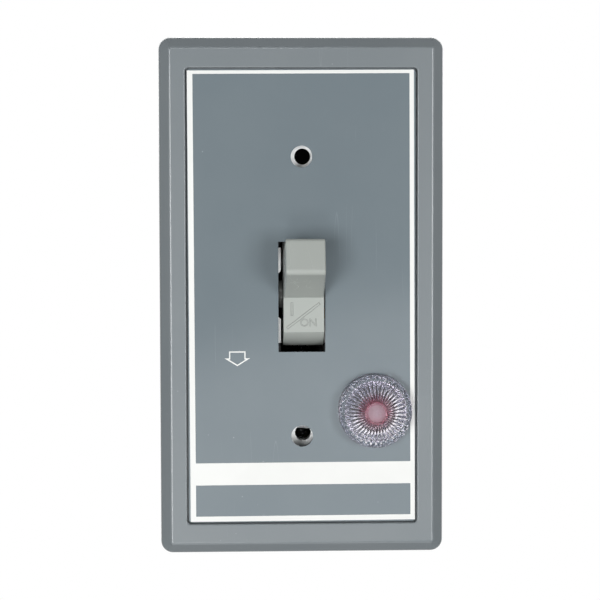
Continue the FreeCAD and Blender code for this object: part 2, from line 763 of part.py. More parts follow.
def make_starter_base():
    """Moulded slab and contact chamber with pin cheeks, slide rails, screw bosses and terminal holes."""
    slab_z = about("0", "base_height")
    solids = [block("slab", about("starter_x", "base_width"), ("slab_back", "floor_out"), slab_z)]
    wall_out = ("floor_out - strip_thickness", "shield_back")
    wall_blank = block("wall_blank", about("starter_x", "base_width"), wall_out, about("0", "chamber_height"))
    chamber_out = ("floor_out - 2 * strip_thickness", "shield_back + 1")
    chamber = block("chamber", about("starter_x", "2 * chamber_side"), chamber_out,
                    about("0", "2 * chamber_half"))
    solids.append(cut("chamber_walls", wall_blank, [chamber]))
    holes = []
    for side in (1, -1):
        cheek_x = beside(side, "cheek_gap / 2", "cheek_outer")
        cheek_out = ("pivot_out - cheek_depth", "shield_back")
        cheek_z = about("0", "2 * chamber_half + chamber_wall")
        solids.append(block(f"cheek_{side + 1}", cheek_x, cheek_out, cheek_z))
        rail_x = beside(side, "chamber_side - rail_width", "chamber_side + chamber_wall / 2")
        front_rail = "pivot_out - crossbar_front + rail_play"
        rail_z = about("0", "2 * chamber_half + chamber_wall")
        front_rail_out = (front_rail, f"{front_rail} + rail_depth")
        solids.append(block(f"front_rail_{side + 1}", rail_x, front_rail_out, rail_z))
        back_rail_out = ("floor_out - strip_thickness", "pivot_out - crossbar_back - rail_play")
        solids.append(block(f"back_rail_{side + 1}", rail_x, back_rail_out, rail_z))
        notch_out = ("floor_out", "floor_out + strip_thickness + strip_play")
        line_x = beside(side, "inner_strip - strip_play", "inner_strip + strip_width + strip_play")
        line_z = ("chamber_half - strip_play", "chamber_height / 2 + strip_play")
        holes.append(block(f"line_notch_{side + 1}", line_x, notch_out, line_z))
        load_x = beside(side, "outer_strip - strip_play", "outer_strip + strip_width + strip_play")
        load_z = ("-chamber_height / 2 - strip_play", "-chamber_half + strip_play")
        holes.append(block(f"load_notch_{side + 1}", load_x, notch_out, load_z))
    for end in (1, -1):
        boss_out = ("floor_out - strip_thickness", "shield_back")
        solids.append(rod_out(f"base_boss_{end + 1}", "boss_radius", "starter_x", boss_out,
                              f"{end} * strap_screw_z"))
        drill = ("strap_front - strap_screw_length - strip_thickness", "shield_back + 1")
        holes.append(rod_out(f"base_boss_hole_{end + 1}", "strap_screw_shank / 2 + screw_fit", "starter_x",
                             drill, f"{end} * strap_screw_z"))
    rib_z = ("-base_height / 2", "-base_height / 2 + trip_rib")
    rib_out = ("floor_out - strip_thickness", "pawl_top + trip_rib")
    solids.append(block("trip_rib_block", about("starter_x", "trip_rib_width"), rib_out, rib_z))
    pin_x = (starter("-cheek_outer - 1"), starter("cheek_outer + 1"))
    holes.append(rod_across("pin_seat", "pin_radius + pin_fit", pin_x, "pivot_out", "0"))
    pin_way_z = about("0", "2 * (pin_radius + pin_fit)")
    holes.append(block("pin_way", pin_x, ("pivot_out", "shield_back + 1"), pin_way_z))
    for name, (x, z, seat) in TERMINALS.items():
        drill = ("floor_out - terminal_length", "floor_out + 1")
        holes.append(rod_out(f"base_{name}_hole", "terminal_shank / 2 + screw_fit", starter(x), drill, z))
    holes.append(rod_out("pot_hole", "pot_spigot_radius + screw_fit", starter("-pot_x"),
                         ("floor_out - pot_spigot", "floor_out + 1"), "-pot_z"))
    holes.append(rod_out("pawl_pin_hole", "pawl_pin_radius + screw_fit", starter("pawl_x"),
                         ("floor_out - pawl_pin_root", "floor_out + 1"), "-pot_z"))
    return cut("starter_base", fuse("base_solids", solids), holes)


def make_arc_shield():
    """Fibre sheet under the strap that closes the chamber and traps the toggle's pin."""
    sheet_out = ("shield_back", "strap_back")
    sheet = block("shield_sheet", about("starter_x", "base_width - 2 * shield_margin"), sheet_out,
                  about("0", "chamber_height"))
    tongue = block("shield_tongue", about("starter_x", "2 * boss_radius"), sheet_out,
                   about("0", "2 * (strap_screw_z + boss_radius)"))
    opening_out = ("shield_back - 1", "strap_back + 1")
    holes = [
        block("shield_opening", about("starter_x", "strap_opening_width"), opening_out,
              about("0", "strap_opening_height")),
        block("shield_notch", about("starter_x", "strap_notch_width"), opening_out,
              about("0", "strap_notch_height")),
    ]
    for end in (1, -1):
        holes.append(rod_out(f"shield_hole_{end + 1}", "strap_screw_shank / 2 + screw_fit", "starter_x",
                             opening_out, f"{end} * strap_screw_z"))
    return cut("arc_shield", fuse("shield_blank", [sheet, tongue]), holes)


# Toggle


def make_toggle_handle():
    """Lever, drum and tail in one moulding, built level about its pivot and then thrown up to ON."""
    # The lever narrows a little towards its tip, both ways, as a moulding that leaves its mould
    lever = new_body("lever")
    draft = lever.newObject("PartDesign::AdditiveWedge", "lever_draft")
    wedge_ends = {
        "X": ("lever_tip_width / 2", "toggle_width / 2"),
        "Z": ("lever_tip_height / 2", "lever_root_height / 2"),
    }
    for axis, (half_tip, half_root) in wedge_ends.items():
        bind(draft, f"{axis}min", f"-{half_tip}")
        bind(draft, f"{axis}max", half_tip)
        bind(draft, f"{axis}2min", f"-{half_root}")
        bind(draft, f"{axis}2max", half_root)
    bind(draft, "Ymin", "-lever_tip")
    bind(draft, "Ymax", "-lever_root")
    doc.recompute()
    root_level = -value("lever_root") - 1e-3
    tip_level = -value("lever_tip") + 1e-3
    round_edges(lever, "lever_nose_edges", "lever_nose",
                lambda edge: edge.CenterOfMass.y < tip_level and abs(edge.CenterOfMass.x) < 1e-3)
    round_edges(lever, "lever_edges", "lever_edge",
                lambda edge: edge.CenterOfMass.y < root_level and abs(edge.CenterOfMass.x) > 1e-3)
    drum_side = new_body("drum_side")
    facet_up = "lever_root_height / 2 + facet_slope_up"
    facet_out = "-lever_root + facet_slope_out"
    drum_view = outline(sketch_on(drum_side, "drum_view", "YZ_Plane"), [
        ("-lever_root", "-lever_root_height / 2"),
        ("-lever_root", "lever_root_height / 2"),
        (facet_out, facet_up),
        ("drum_back", facet_up),
        ("drum_back", f"-({facet_up})"),
        (facet_out, f"-({facet_up})"),
    ])
    pad(drum_side, drum_view, "toggle_width", midplane=True)
    # The drum's round lies ahead of the pivot, so its ends curl in behind the marked faces
    drum = doc.addObject("Part::Common", "drum")
    drum.Base = drum_side
    drum.Tool = rod_across("drum_round", "drum_radius", about("0", "toggle_width"), "drum_out", "0")
    hub = rod_across("hub", "hub_radius", about("0", "cheek_gap - 2 * hub_play"), "0", "0")
    tail = block("tail", about("0", "tail_width"), ("-tail_length", "0"), about("0", "tail_thickness"))
    finger = rod_across("finger", "finger_radius", about("0", "tail_width"), "-tail_length", "0")
    bore = rod_across("toggle_bore", "pin_radius + pivot_fit", about("0", "cheek_gap * 2"), "0", "0")
    handle = cut("toggle_handle", fuse("toggle_blank", [lever, drum, hub, tail, finger]), [bore])
    throw = FreeCAD.Rotation(vector(1, 0, 0), -value("on_angle"))
    return place(handle, "starter_x", "pivot_out", "0", throw)


def make_toggle_pin():
    pin_x = (starter("-cheek_outer"), starter("cheek_outer"))
    return rod_across("toggle_pin", "pin_radius", pin_x, "pivot_out", "0")


# Contacts


def make_contact_carrier():
    """Sliding moulding: fork for the toggle's finger, crossbar, and a stirrup for each bridge."""
    fork_z = about("finger_z", "2 * fork_half")
    fork_out = ("pivot_out - fork_back", "pivot_out - fork_front")
    solids = [block("fork", about("starter_x", "fork_width"), fork_out, fork_z)]
    bar_x = about("starter_x", "2 * (chamber_side - rail_play)")
    bar_out = ("pivot_out - crossbar_back", "pivot_out - crossbar_front")
    solids.append(block("crossbar", bar_x, bar_out, ("crossbar_bottom", "crossbar_top")))
    finger_way = about("finger_z", "2 * (finger_radius + fork_play)")
    windows = [block("fork_way", about("starter_x", "2 * fork_width"),
                     ("pivot_out - fork_floor", "pivot_out"), finger_way)]
    for side in (1, -1):
        stirrup_x = beside(side, "stirrup_x - stirrup_width / 2", "stirrup_x + stirrup_width / 2")
        solids.append(block(f"stirrup_{side + 1}", stirrup_x, bar_out, ("stirrup_bottom", "crossbar_top")))
        window_x = beside(side, "stirrup_x - stirrup_width", "stirrup_x + stirrup_width")
        window_out = (bar_out[0] + " + stirrup_leg", bar_out[1] + " - stirrup_leg")
        windows.append(block(f"window_{side + 1}", window_x, window_out,
                             ("stirrup_bottom + stirrup_bar", "crossbar_bottom")))
    return cut("contact_carrier", fuse("carrier_blank", solids), windows)


def each_tip():
    """X of the four contact tips, two for each pole."""
    for side in (1, -1):
        for offset in ("-tip_spread", "tip_spread"):
            yield starter(f"{side} * (stirrup_x + {offset})")


def make_moving_bridges():
    bars = []
    for side in (1, -1):
        bar_x = beside(side, "stirrup_x - bridge_length / 2", "stirrup_x + bridge_length / 2")
        bars.append(block(f"bridge_{side + 1}", bar_x, about("crossbar_middle", "bridge_width"),
                          ("bridge_z", "bridge_z + bridge_thickness")))
    return group("moving_bridges", bars)


def make_moving_tips():
    tip_z = ("bridge_z - tip_thickness", "bridge_z")
    tips = [rod_up(f"moving_tip_{index}", "tip_radius", x, "crossbar_middle", tip_z)
            for index, x in enumerate(each_tip())]
    return group("moving_tips", tips)


def make_fixed_tips():
    tips = [rod_up(f"fixed_tip_{index}", "tip_radius", x, "crossbar_middle", ("pad_top", "fixed_tip_top"))
            for index, x in enumerate(each_tip())]
    return group("fixed_tips", tips)


def contact_pad(name, strip_x):
    """Upright tab that carries a contact tip."""
    pad_out = ("floor_out", "crossbar_middle + pad_depth / 2")
    return block(name, strip_x, pad_out, ("pad_bottom", "pad_top"))


def terminal_hole(name, x, z):
    """Clearance hole for a terminal screw through a strip."""
    drill = ("floor_out - 1", "floor_out + 2 * heater_tab")
    return rod_out(name, "terminal_shank / 2 + screw_fit", starter(x), drill, z)


STRIP_OUT = ("floor_out", "floor_out + strip_thickness")


def make_line_contacts():
    made = []
    for side in (1, -1):
        strip_x = beside(side, "inner_strip", "inner_strip + strip_width")
        tab = contact_pad(f"line_pad_{side + 1}", strip_x)
        strip = block(f"line_strip_{side + 1}", strip_x, STRIP_OUT, ("pad_bottom", "slab_edge"))
        plate_x = beside(side, "inner_strip", "line_terminal_x + terminal_plate / 2")
        plate_z = ("line_terminal_z - terminal_plate / 2", "slab_edge")
        plate = block(f"line_plate_{side + 1}", plate_x, STRIP_OUT, plate_z)
        hole = terminal_hole(f"line_hole_{side + 1}", f"{side} * line_terminal_x", "line_terminal_z")
        blank = fuse(f"line_blank_{side + 1}", [tab, strip, plate])
        made.append(cut(f"line_contact_{side + 1}", blank, [hole]))
    return group("line_contacts", made)


def make_load_contacts():
    """The right strip ends in the load terminal, the left one under the heater's first tab."""
    made = []
    terminal_x = "stirrup_x + tip_spread"
    for side in (1, -1):
        strip_x = beside(side, "outer_strip", "outer_strip + strip_width")
        tab = contact_pad(f"load_pad_{side + 1}", strip_x)
        end_z = "-slab_edge" if side > 0 else "-heater_screw_z - strip_width / 2"
        screw_z = "-load_terminal_z" if side > 0 else "-heater_screw_z"
        strip = block(f"load_strip_{side + 1}", strip_x, STRIP_OUT, (end_z, "pad_top"))
        solids = [tab, strip]
        half = "terminal_plate / 2" if side > 0 else "strip_width * 0.7"
        plate_x = beside(side, f"{terminal_x} - {half}", f"{terminal_x} + {half}")
        plate_top = "terminal_plate / 2" if side > 0 else "strip_width / 2"
        plate_z = (end_z, f"{screw_z} + {plate_top}")
        solids.append(block(f"load_plate_{side + 1}", plate_x, STRIP_OUT, plate_z))
        hole = terminal_hole(f"load_hole_{side + 1}", f"{side} * ({terminal_x})", screw_z)
        made.append(cut(f"load_contact_{side + 1}", fuse(f"load_blank_{side + 1}", solids), [hole]))
    return group("load_contacts", made)


def make_terminal_screws():
    made = []
    for name, (x, z, seat) in TERMINALS.items():
        clamp = "" if name == "heater" else " + clamp_thickness"
        depth = f"{seat}{clamp} - floor_out + terminal_length - strip_thickness"
        made.append(screw(f"{name}_screw", "terminal_shank", f"({depth})", "terminal_head",
                          "terminal_head_height", starter(x), f"({seat}{clamp})", z))
    return group("terminal_screws", made)


def make_terminal_clamps():
    made = []
    for name, (x, z, seat) in TERMINALS.items():
        if name == "heater":
            continue
        clamp_out = (seat, f"{seat} + clamp_thickness")
        side_x, side_z = about(starter(x), "clamp_side"), about(z, "clamp_side")
        plate = block(f"{name}_clamp_plate", side_x, clamp_out, side_z)
        made.append(cut(f"{name}_clamp", plate, [terminal_hole(f"{name}_clamp_hole", x, z)]))
    return group("terminal_clamps", made)


# Overload


def make_solder_pot():
    pot_x, pot_z = starter("-pot_x"), "-pot_z"
    tube = rod_out("pot_tube", "pot_radius", pot_x, ("floor_out", "pot_top"), pot_z)
    spigot = rod_out("pot_stub", "pot_spigot_radius", pot_x, ("floor_out - pot_spigot", "floor_out"), pot_z)
    bore_out = ("wheel_out - wheel_shaft_length - wheel_lift", "pot_top + 1")
    bore = rod_out("pot_bore_hole", "pot_bore", pot_x, bore_out, pot_z)
    return cut("solder_pot", fuse("pot_blank", [tube, spigot]), [bore])


def make_heater_coil():
    made = coil("heater_coil", "heater_radius", "heater_wire", "heater_pitch", "heater_length")
    return place(made, starter("-pot_x"), "heater_out", "-pot_z", TURN_FRONT)


def make_heater_tabs():
    """Two flat tabs under the coil: one from the left load strip, one that is the left load terminal."""
    terminal_x = "-(stirrup_x + tip_spread)"
    first_out = ("floor_out + strip_thickness", "floor_out + heater_tab")
    first_x = (starter("-(outer_strip + strip_width)"), starter("-tab_reach"))
    first = block("first_tab_plate", first_x, first_out,
                  ("-lead_z - lead_radius * 1.3", "-heater_screw_z + strip_width * 0.65"))
    first_hole = terminal_hole("first_tab_hole", terminal_x, "-heater_screw_z")
    second_x = (starter(f"{terminal_x} - terminal_plate / 2"), starter("-tab_reach"))
    second_z = ("-slab_edge", "-load_terminal_z + clamp_side / 2")
    second = block("second_tab_plate", second_x, ("floor_out", "floor_out + heater_tab"), second_z)
    second_hole = terminal_hole("second_tab_hole", terminal_x, "-load_terminal_z")
    tabs = [cut("first_tab", first, [first_hole]), cut("second_tab", second, [second_hole])]
    return group("heater_tabs", tabs)


def make_ratchet_wheel():
    """Toothed wheel on the shaft that the pot's solder holds, one tooth gap facing the pawl."""
    wheel = new_body("toothed_wheel")
    disc = sketch_on(wheel, "wheel_disc", "XZ_Plane")
    circle(disc, "0", "0", "2 * wheel_radius")
    pad(wheel, disc, "wheel_thickness")
    gap = outline(sketch_on(wheel, "wheel_gap", "XZ_Plane", "wheel_thickness"), [
        ("wheel_root", "0"),
        ("2 * wheel_radius - wheel_root", "-2 * (wheel_radius - wheel_root)"),
        ("2 * wheel_radius - wheel_root", "2 * (wheel_radius - wheel_root)"),
    ])
    tooth_gap = pocket(wheel, gap, "wheel_thickness * 2")
    teeth = wheel.newObject("PartDesign::PolarPattern", "wheel_teeth_round")
    teeth.Originals = [tooth_gap]
    axis = next(one for one in wheel.Origin.OriginFeatures if one.Role == "Y_Axis")
    teeth.Axis = (axis, [""])
    teeth.Angle = 360
    bind(teeth, "Occurrences", "wheel_teeth")
    wheel.Tip = teeth
    doc.recompute()
    place(wheel, starter("-pot_x"), "wheel_out", "-pot_z")
    shaft = rod_out("wheel_shaft_rod", "wheel_shaft", starter("-pot_x"),
                    ("wheel_out - wheel_shaft_length", "wheel_out + wheel_thickness / 2"), "-pot_z")
    return fuse("ratchet_wheel", [wheel, shaft])


def make_trip_pawl():
    """Lever whose tooth sits in the wheel's gap, drawn about the wheel's middle."""
    lever = new_body("pawl_lever")
    root = "wheel_root + pawl_clearance"
    neck = f"{root} + pawl_tooth"
    outline(sketch_on(lever, "pawl_view", "XZ_Plane"), [
        (root, "0"),
        (neck, "-pawl_tooth_half"),
        ("pawl_centres", "-pawl_half"),
        ("pawl_centres", "pawl_half"),
        (neck, "pawl_tooth_half"),
    ])
    pad(lever, doc.getObject("pawl_view"), "pawl_thickness")
    place(lever, starter("-pot_x"), "pawl_out", "-pot_z")
    pivot_x = starter("pawl_x")
    hub = rod_out("pawl_hub_rod", "pawl_hub", pivot_x, ("pawl_out", "pawl_top"), "-pot_z")
    bore = rod_out("pawl_bore", "pawl_pin_radius + pivot_fit", pivot_x,
                   ("pawl_out - 1", "pawl_top + 1"), "-pot_z")
    return cut("trip_pawl", fuse("pawl_blank", [lever, hub]), [bore])


def make_pawl_pin():
    pivot_x = starter("pawl_x")
    stem = rod_out("pawl_stem", "pawl_pin_radius", pivot_x,
                   ("floor_out - pawl_pin_root", "pawl_top + pawl_pin_head"), "-pot_z")
    collar = rod_out("pawl_collar", "pawl_pin_collar", pivot_x,
                     ("floor_out", "pawl_out - pawl_lift"), "-pot_z")
    return fuse("pawl_pin", [stem, collar])


# Springs


def make_carrier_spring():
    """Stands on the chamber's lower wall and lifts the carrier."""
    length = "finger_z - fork_half + chamber_half"
    made = coil("carrier_spring", "carrier_spring_radius", "carrier_spring_wire", "carrier_spring_pitch",
                length)
    return place(made, "starter_x", "pivot_out - (fork_floor + fork_back) / 2",
                 "-chamber_half + carrier_spring_wire")


def make_contact_springs():
    made = []
    length = "crossbar_bottom - bridge_z - bridge_thickness"
    for side in (1, -1):
        spring = coil(f"contact_spring_{side + 1}", "contact_spring_radius", "contact_spring_wire",
                      "contact_spring_pitch", length)
        place(spring, starter(f"{side} * stirrup_x"), "crossbar_middle",
              "bridge_z + bridge_thickness + contact_spring_wire")
        made.append(spring)
    return group("contact_springs", made)


def make_trip_spring():
    """Pushes the pawl up from the base's rib."""
    length = "base_height / 2 - trip_rib - pot_z - pawl_half"
    made = coil("trip_spring", "trip_spring_radius", "trip_spring_wire", "trip_spring_pitch", length)
    return place(made, "starter_x", "(pawl_out + pawl_top) / 2",
                 "-base_height / 2 + trip_rib + trip_spring_wire")


# Pilot light


def turned(name, view, points):
    """Body turned about the pilot light's own axis, from (radius, height over the plate) pairs."""
    body = new_body(name)
    corners = [(radius, f"-({height})") for radius, height in points]
    revolve(body, outline(sketch_on(body, view, "XY_Plane"), corners))
    return body


def hoop(radius, height):
    """Test for the round edge of a turned body at one radius and height."""
    reach, level = value(radius), -value(height)

    def is_hoop(edge):
        box = edge.BoundBox
        flat = abs(box.YMin - level) < 1e-4 and abs(box.YMax - level) < 1e-4
        return flat and abs(box.XMax - reach) < 1e-4
    return is_hoop


def stand_at_pilot(body):
    return place(body, "pilot_x", "plate_front", "-pilot_z")


def make_pilot_lens():
    """Hollow clear lens with a rim, a sloping top and a threaded shank through the plate."""
    lens = turned("pilot_lens", "lens_view", [
        ("shank_bore", "-shank_length"),
        ("shank_radius", "-shank_length"),
        ("shank_radius", "0"),
        ("lens_radius", "0"),
        ("lens_radius", "lens_rim"),
        ("lens_flat", "lens_height"),
        ("0", "lens_height"),
        ("0", "lens_height - lens_wall"),
        ("lens_flat", "lens_height - lens_wall"),
        ("lens_radius - lens_wall", "lens_rim - lens_wall * 0.6"),
        ("lens_radius - lens_wall", "lens_wall"),
        ("shank_bore", "lens_wall * 0.7"),
    ])
    round_edges(lens, "lens_shoulder_round", "lens_shoulder", hoop("lens_radius", "lens_rim"))
    round_edges(lens, "lens_nose_round", "lens_nose", hoop("lens_flat", "lens_height"))
    return stand_at_pilot(lens)


def make_pilot_nut():
    prism = doc.addObject("Part::Prism", "nut_blank")
    prism.Polygon = 6
    bind(prism, "Circumradius", "nut_flats / sqrt(3)")
    bind(prism, "Height", "nut_thickness")
    corner_up = TURN_FRONT.multiply(FreeCAD.Rotation(vector(0, 0, 1), 30))
    place(prism, "pilot_x", "plate_back - nut_thickness", "-pilot_z", corner_up)
    bore = rod_out("nut_bore", "shank_radius + pilot_fit", "pilot_x",
                   ("plate_back - nut_thickness - 1", "plate_back + 1"), "-pilot_z")
    return cut("pilot_nut", prism, [bore])


def make_lamp_holder():
    """Moulded socket behind the lens, its spigot inside the lens's shank."""
    grip = "shank_bore - 2 * pilot_fit"
    socket = "lamp_radius + pilot_fit"
    lamp_seat = "-shank_length - holder_spigot + 0.5"
    body = turned("lamp_holder", "holder_view", [
        ("0", "-holder_back"),
        ("holder_radius", "-holder_back"),
        ("holder_radius", "-shank_length"),
        (grip, "-shank_length"),
        (grip, "-shank_length + holder_spigot"),
        (socket, "-shank_length + holder_spigot"),
        (socket, lamp_seat),
        ("0", lamp_seat),
    ])
    return stand_at_pilot(body)


def make_neon_lamp():
    """Lamp with a red cap that shows through the lens."""
    foot = "-shank_length - holder_spigot + 0.5 + pilot_fit"
    cap_foot = f"{foot} + lamp_length"
    lamp = turned("neon_lamp", "lamp_view", [
        ("0", foot),
        ("lamp_radius", foot),
        ("lamp_radius", cap_foot),
        ("lamp_cap_radius", cap_foot),
        ("lamp_cap_radius", f"{cap_foot} + lamp_cap_length"),
        ("0", f"{cap_foot} + lamp_cap_length"),
    ])
    cap_edge = hoop("lamp_cap_radius", f"{cap_foot} + lamp_cap_length")
    round_edges(lamp, "lamp_cap_round", "lamp_cap_edge", cap_edge)
    return stand_at_pilot(lamp)


def make_pilot_leads():
    """One straight lead to the right load strip, one bent lead to the heater's first tab."""
    short = rod_out("short_lead", "lead_radius", "pilot_x + lead_spread",
                    ("floor_out + strip_thickness", "holder_end"), "-lead_z")
    start_x, end_x = "pilot_x - lead_spread", starter("-lead_end_x")
    level, bend = "lead_out", "lead_bend"
    finish_out = ("floor_out + heater_tab", f"{level} - {bend}")
    runs = [
        rod_out("lead_start", "lead_radius", start_x, (f"{level} + {bend}", "holder_end"), "-lead_z"),
        rod_across("lead_run", "lead_radius", (f"{end_x} + {bend}", f"{start_x} - {bend}"), level, "-lead_z"),
        rod_out("lead_finish", "lead_radius", end_x, finish_out, "-lead_z"),
    ]
    for name, x, out, turn in (("lead_bend_right", f"{start_x} - {bend}", f"{level} + {bend}", 0),
                               ("lead_bend_left", f"{end_x} + {bend}", f"{level} - {bend}", 180)):
        elbow = doc.addObject("Part::Torus", name)
        bind(elbow, "Radius1", bend)
        bind(elbow, "Radius2", "lead_radius")
        elbow.Angle3 = 90
        place(elbow, x, out, "-lead_z", FreeCAD.Rotation(vector(0, 0, 1), turn))
        runs.append(elbow)
    return group("pilot_leads", [short, fuse("bent_lead", runs)])


MAKERS = [
    make_back_box, make_knockout_discs, make_knockout_rings, make_front_bezel, make_cover_plate,
    make_ground_screw, make_mounting_strap, make_device_screws, make_strap_screws, make_starter_base,
    make_arc_shield, make_toggle_handle, make_toggle_pin, make_contact_carrier, make_moving_bridges,
    make_moving_tips, make_fixed_tips, make_line_contacts, make_load_contacts, make_terminal_screws,
    make_terminal_clamps, make_solder_pot, make_heater_coil, make_heater_tabs, make_ratchet_wheel,
    make_trip_pawl, make_pawl_pin, make_carrier_spring, make_contact_springs, make_trip_spring,
    make_pilot_lens, make_pilot_nut, make_lamp_holder, make_neon_lamp, make_pilot_leads,
]


def check(pieces):
    """Stop before writing anything if a feature failed or a piece is empty or broken."""
    for thing in doc.Objects:
        if "Invalid" in thing.State or "Error" in thing.State:
            raise RuntimeError(f"{thing.Name} did not recompute: {thing.State}")
    for piece in pieces:
        if piece.Shape.isNull() or not piece.Shape.isValid() or not piece.Shape.Solids:
            raise RuntimeError(f"{piece.Label} has no valid solid")


pieces = []
for maker in MAKERS:
    piece = maker()
    piece.Label = maker.__name__.replace("make_", "")
    pieces.append(piece)
doc.recompute()
check(pieces)
os.makedirs("parts", exist_ok=True)
for piece in pieces:
    piece.Shape.exportStep(f"parts/{piece.Label}.step")
    print(f"{piece.Label}: {len(piece.Shape.Solids)} solid(s), {piece.Shape.Volume:.1f} mm3")
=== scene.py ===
# %% [markdown]
# # Manual motor starter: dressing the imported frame
#
# The real object is a small wall box with a moulded bezel, a glossy plate, a toggle and a pilot light.
# The CAD frame already holds every solid piece in its place, so only the fluted pilot lens is modelled
# again here. This lesson gives each piece a surface, prints the plate, marks the toggle, grows the lens
# and lights it all as the photograph is lit. Everything is in metres, X to the right, Z up, and the front
# faces -Y.

# %% Load the frame
import json
import math

import bmesh
import bpy
from mathutils import Matrix, Vector


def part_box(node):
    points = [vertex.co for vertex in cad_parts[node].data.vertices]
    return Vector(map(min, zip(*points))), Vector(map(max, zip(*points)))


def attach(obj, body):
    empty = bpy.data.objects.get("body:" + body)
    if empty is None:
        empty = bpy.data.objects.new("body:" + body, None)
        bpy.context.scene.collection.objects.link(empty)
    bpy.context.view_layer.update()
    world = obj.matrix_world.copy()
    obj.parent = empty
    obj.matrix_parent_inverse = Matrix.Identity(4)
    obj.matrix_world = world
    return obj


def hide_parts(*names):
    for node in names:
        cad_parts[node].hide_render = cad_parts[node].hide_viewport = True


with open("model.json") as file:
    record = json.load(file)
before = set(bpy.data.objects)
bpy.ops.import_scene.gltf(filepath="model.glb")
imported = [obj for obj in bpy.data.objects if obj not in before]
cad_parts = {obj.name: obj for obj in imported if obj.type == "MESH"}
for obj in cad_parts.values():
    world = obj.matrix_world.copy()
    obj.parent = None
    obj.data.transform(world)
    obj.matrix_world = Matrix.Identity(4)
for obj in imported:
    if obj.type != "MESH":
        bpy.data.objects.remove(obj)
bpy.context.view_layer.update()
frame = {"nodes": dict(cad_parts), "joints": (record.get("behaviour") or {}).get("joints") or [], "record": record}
nodes = frame["nodes"]
joints = {joint["name"]: joint for joint in frame["joints"]}
slot_of = {part["node"]: part["material_slot"] for part in frame["record"]["subparts"]}
MM = 0.001

# %% [markdown]
# ## Shared surface effects
#
# Moulded plastic, paint and plated metal are never one flat colour: they have faint patches, a fine
# grain, dust specks and hairline scratches. Each material could carry its own copy of those nodes. Two
# node groups are built once instead, so that every finish shares one pattern with its own values:
# `surface grain` gives patches and grain, and `wear marks` gives dust and scratches. Both read object
# coordinates, so the pattern stays fixed to the piece when it moves.


# %% Node helpers
def add(tree, kind, **settings):
    """New node with plain settings."""
    node = tree.nodes.new(kind)
    for name, setting in settings.items():
        setattr(node, name, setting)
    return node


def put(node, **values):
    """Set constants on a node's own input sockets."""
    for name, value in values.items():
        node.inputs[name.replace("_", " ")].default_value = value
    return node


def feed(tree, value, socket):
    """Link an output to an input, or set a constant there."""
    if isinstance(value, bpy.types.NodeSocket):
        tree.links.new(value, socket)
    else:
        socket.default_value = value


def new_group(name, inputs, outputs):
    """Empty shader node group with number sockets, and its two end nodes."""
    tree = bpy.data.node_groups.new(name, "ShaderNodeTree")
    for title, start in inputs.items():
        socket = tree.interface.new_socket(title, in_out="INPUT", socket_type="NodeSocketFloat")
        socket.default_value = start
    for title in outputs:
        tree.interface.new_socket(title, in_out="OUTPUT", socket_type="NodeSocketFloat")
    return tree, add(tree, "NodeGroupInput"), add(tree, "NodeGroupOutput")


def maths(tree, operation, first, second):
    """Math node between two sockets or numbers."""
    node = add(tree, "ShaderNodeMath", operation=operation)
    feed(tree, first, node.inputs[0])
    feed(tree, second, node.inputs[1])
    return node.outputs[0]


def ramp(tree, value, low, high, start=0.0, end=1.0):
    """Map a value from low..high to start..end, held at the ends."""
    node = add(tree, "ShaderNodeMapRange", interpolation_type="SMOOTHSTEP")
    put(node, From_Min=low, From_Max=high, To_Min=start, To_Max=end)
    tree.links.new(value, node.inputs["Value"])
    return node.outputs["Result"]


# A Mix node's sockets for each kind of data: first input, second input, output
MIX_SOCKETS = {"FLOAT": (2, 3, 0), "RGBA": (6, 7, 2)}


def mix(tree, kind, amount, first, second):
    """Number or colour between two, each a socket or a constant."""
    node = add(tree, "ShaderNodeMix", data_type=kind)
    first_in, second_in, mixed = MIX_SOCKETS[kind]
    tree.links.new(amount, node.inputs["Factor"])
    feed(tree, first, node.inputs[first_in])
    feed(tree, second, node.inputs[second_in])
    return node.outputs[mixed]


# %% Surface grain: broad patches and fine grain
NOISE_ROUGHNESS = 0.55
# Output: the input that scales it, that input's start, the noise's detail, and the noise taken as 0 and as 1
GRAIN_LAYERS = {
    "Patches": ("Patch Scale", 60.0, 4.0, 0.32, 0.68),
    "Grain": ("Grain Scale", 2200.0, 6.0, 0.25, 0.75),
}


def make_surface_grain():
    starts = {layer[0]: layer[1] for layer in GRAIN_LAYERS.values()}
    tree, given, result = new_group("surface grain", starts, GRAIN_LAYERS)
    coordinates = add(tree, "ShaderNodeTexCoord").outputs["Object"]
    for title, (scale, _, detail, low, high) in GRAIN_LAYERS.items():
        noise = put(add(tree, "ShaderNodeTexNoise"), Detail=detail, Roughness=NOISE_ROUGHNESS)
        tree.links.new(coordinates, noise.inputs["Vector"])
        tree.links.new(given.outputs[scale], noise.inputs["Scale"])
        tree.links.new(ramp(tree, noise.outputs["Fac"], low, high), result.inputs[title])
    return tree


# %% Wear marks: dust specks and hairline scratches
SPECK_CELLS = 330.0
SPECK_SIZE, SPECK_CORE = 0.055, 0.022
CLOUD_SCALE, CLOUD_DETAIL = 55.0, 3.0
DUSTY_CLOUD = 0.54
SCRATCHED_CLOUD = (0.56, 0.66)
STREAK_TURN = (0.0, 0.6, 0.3)
STREAK_STRETCH = (1.0, 1.0, 0.03)
STREAK_SCALE, STREAK_DETAIL = 240.0, 1.0
STREAK_MIDDLE, HAIRLINE = 0.5, 0.0035


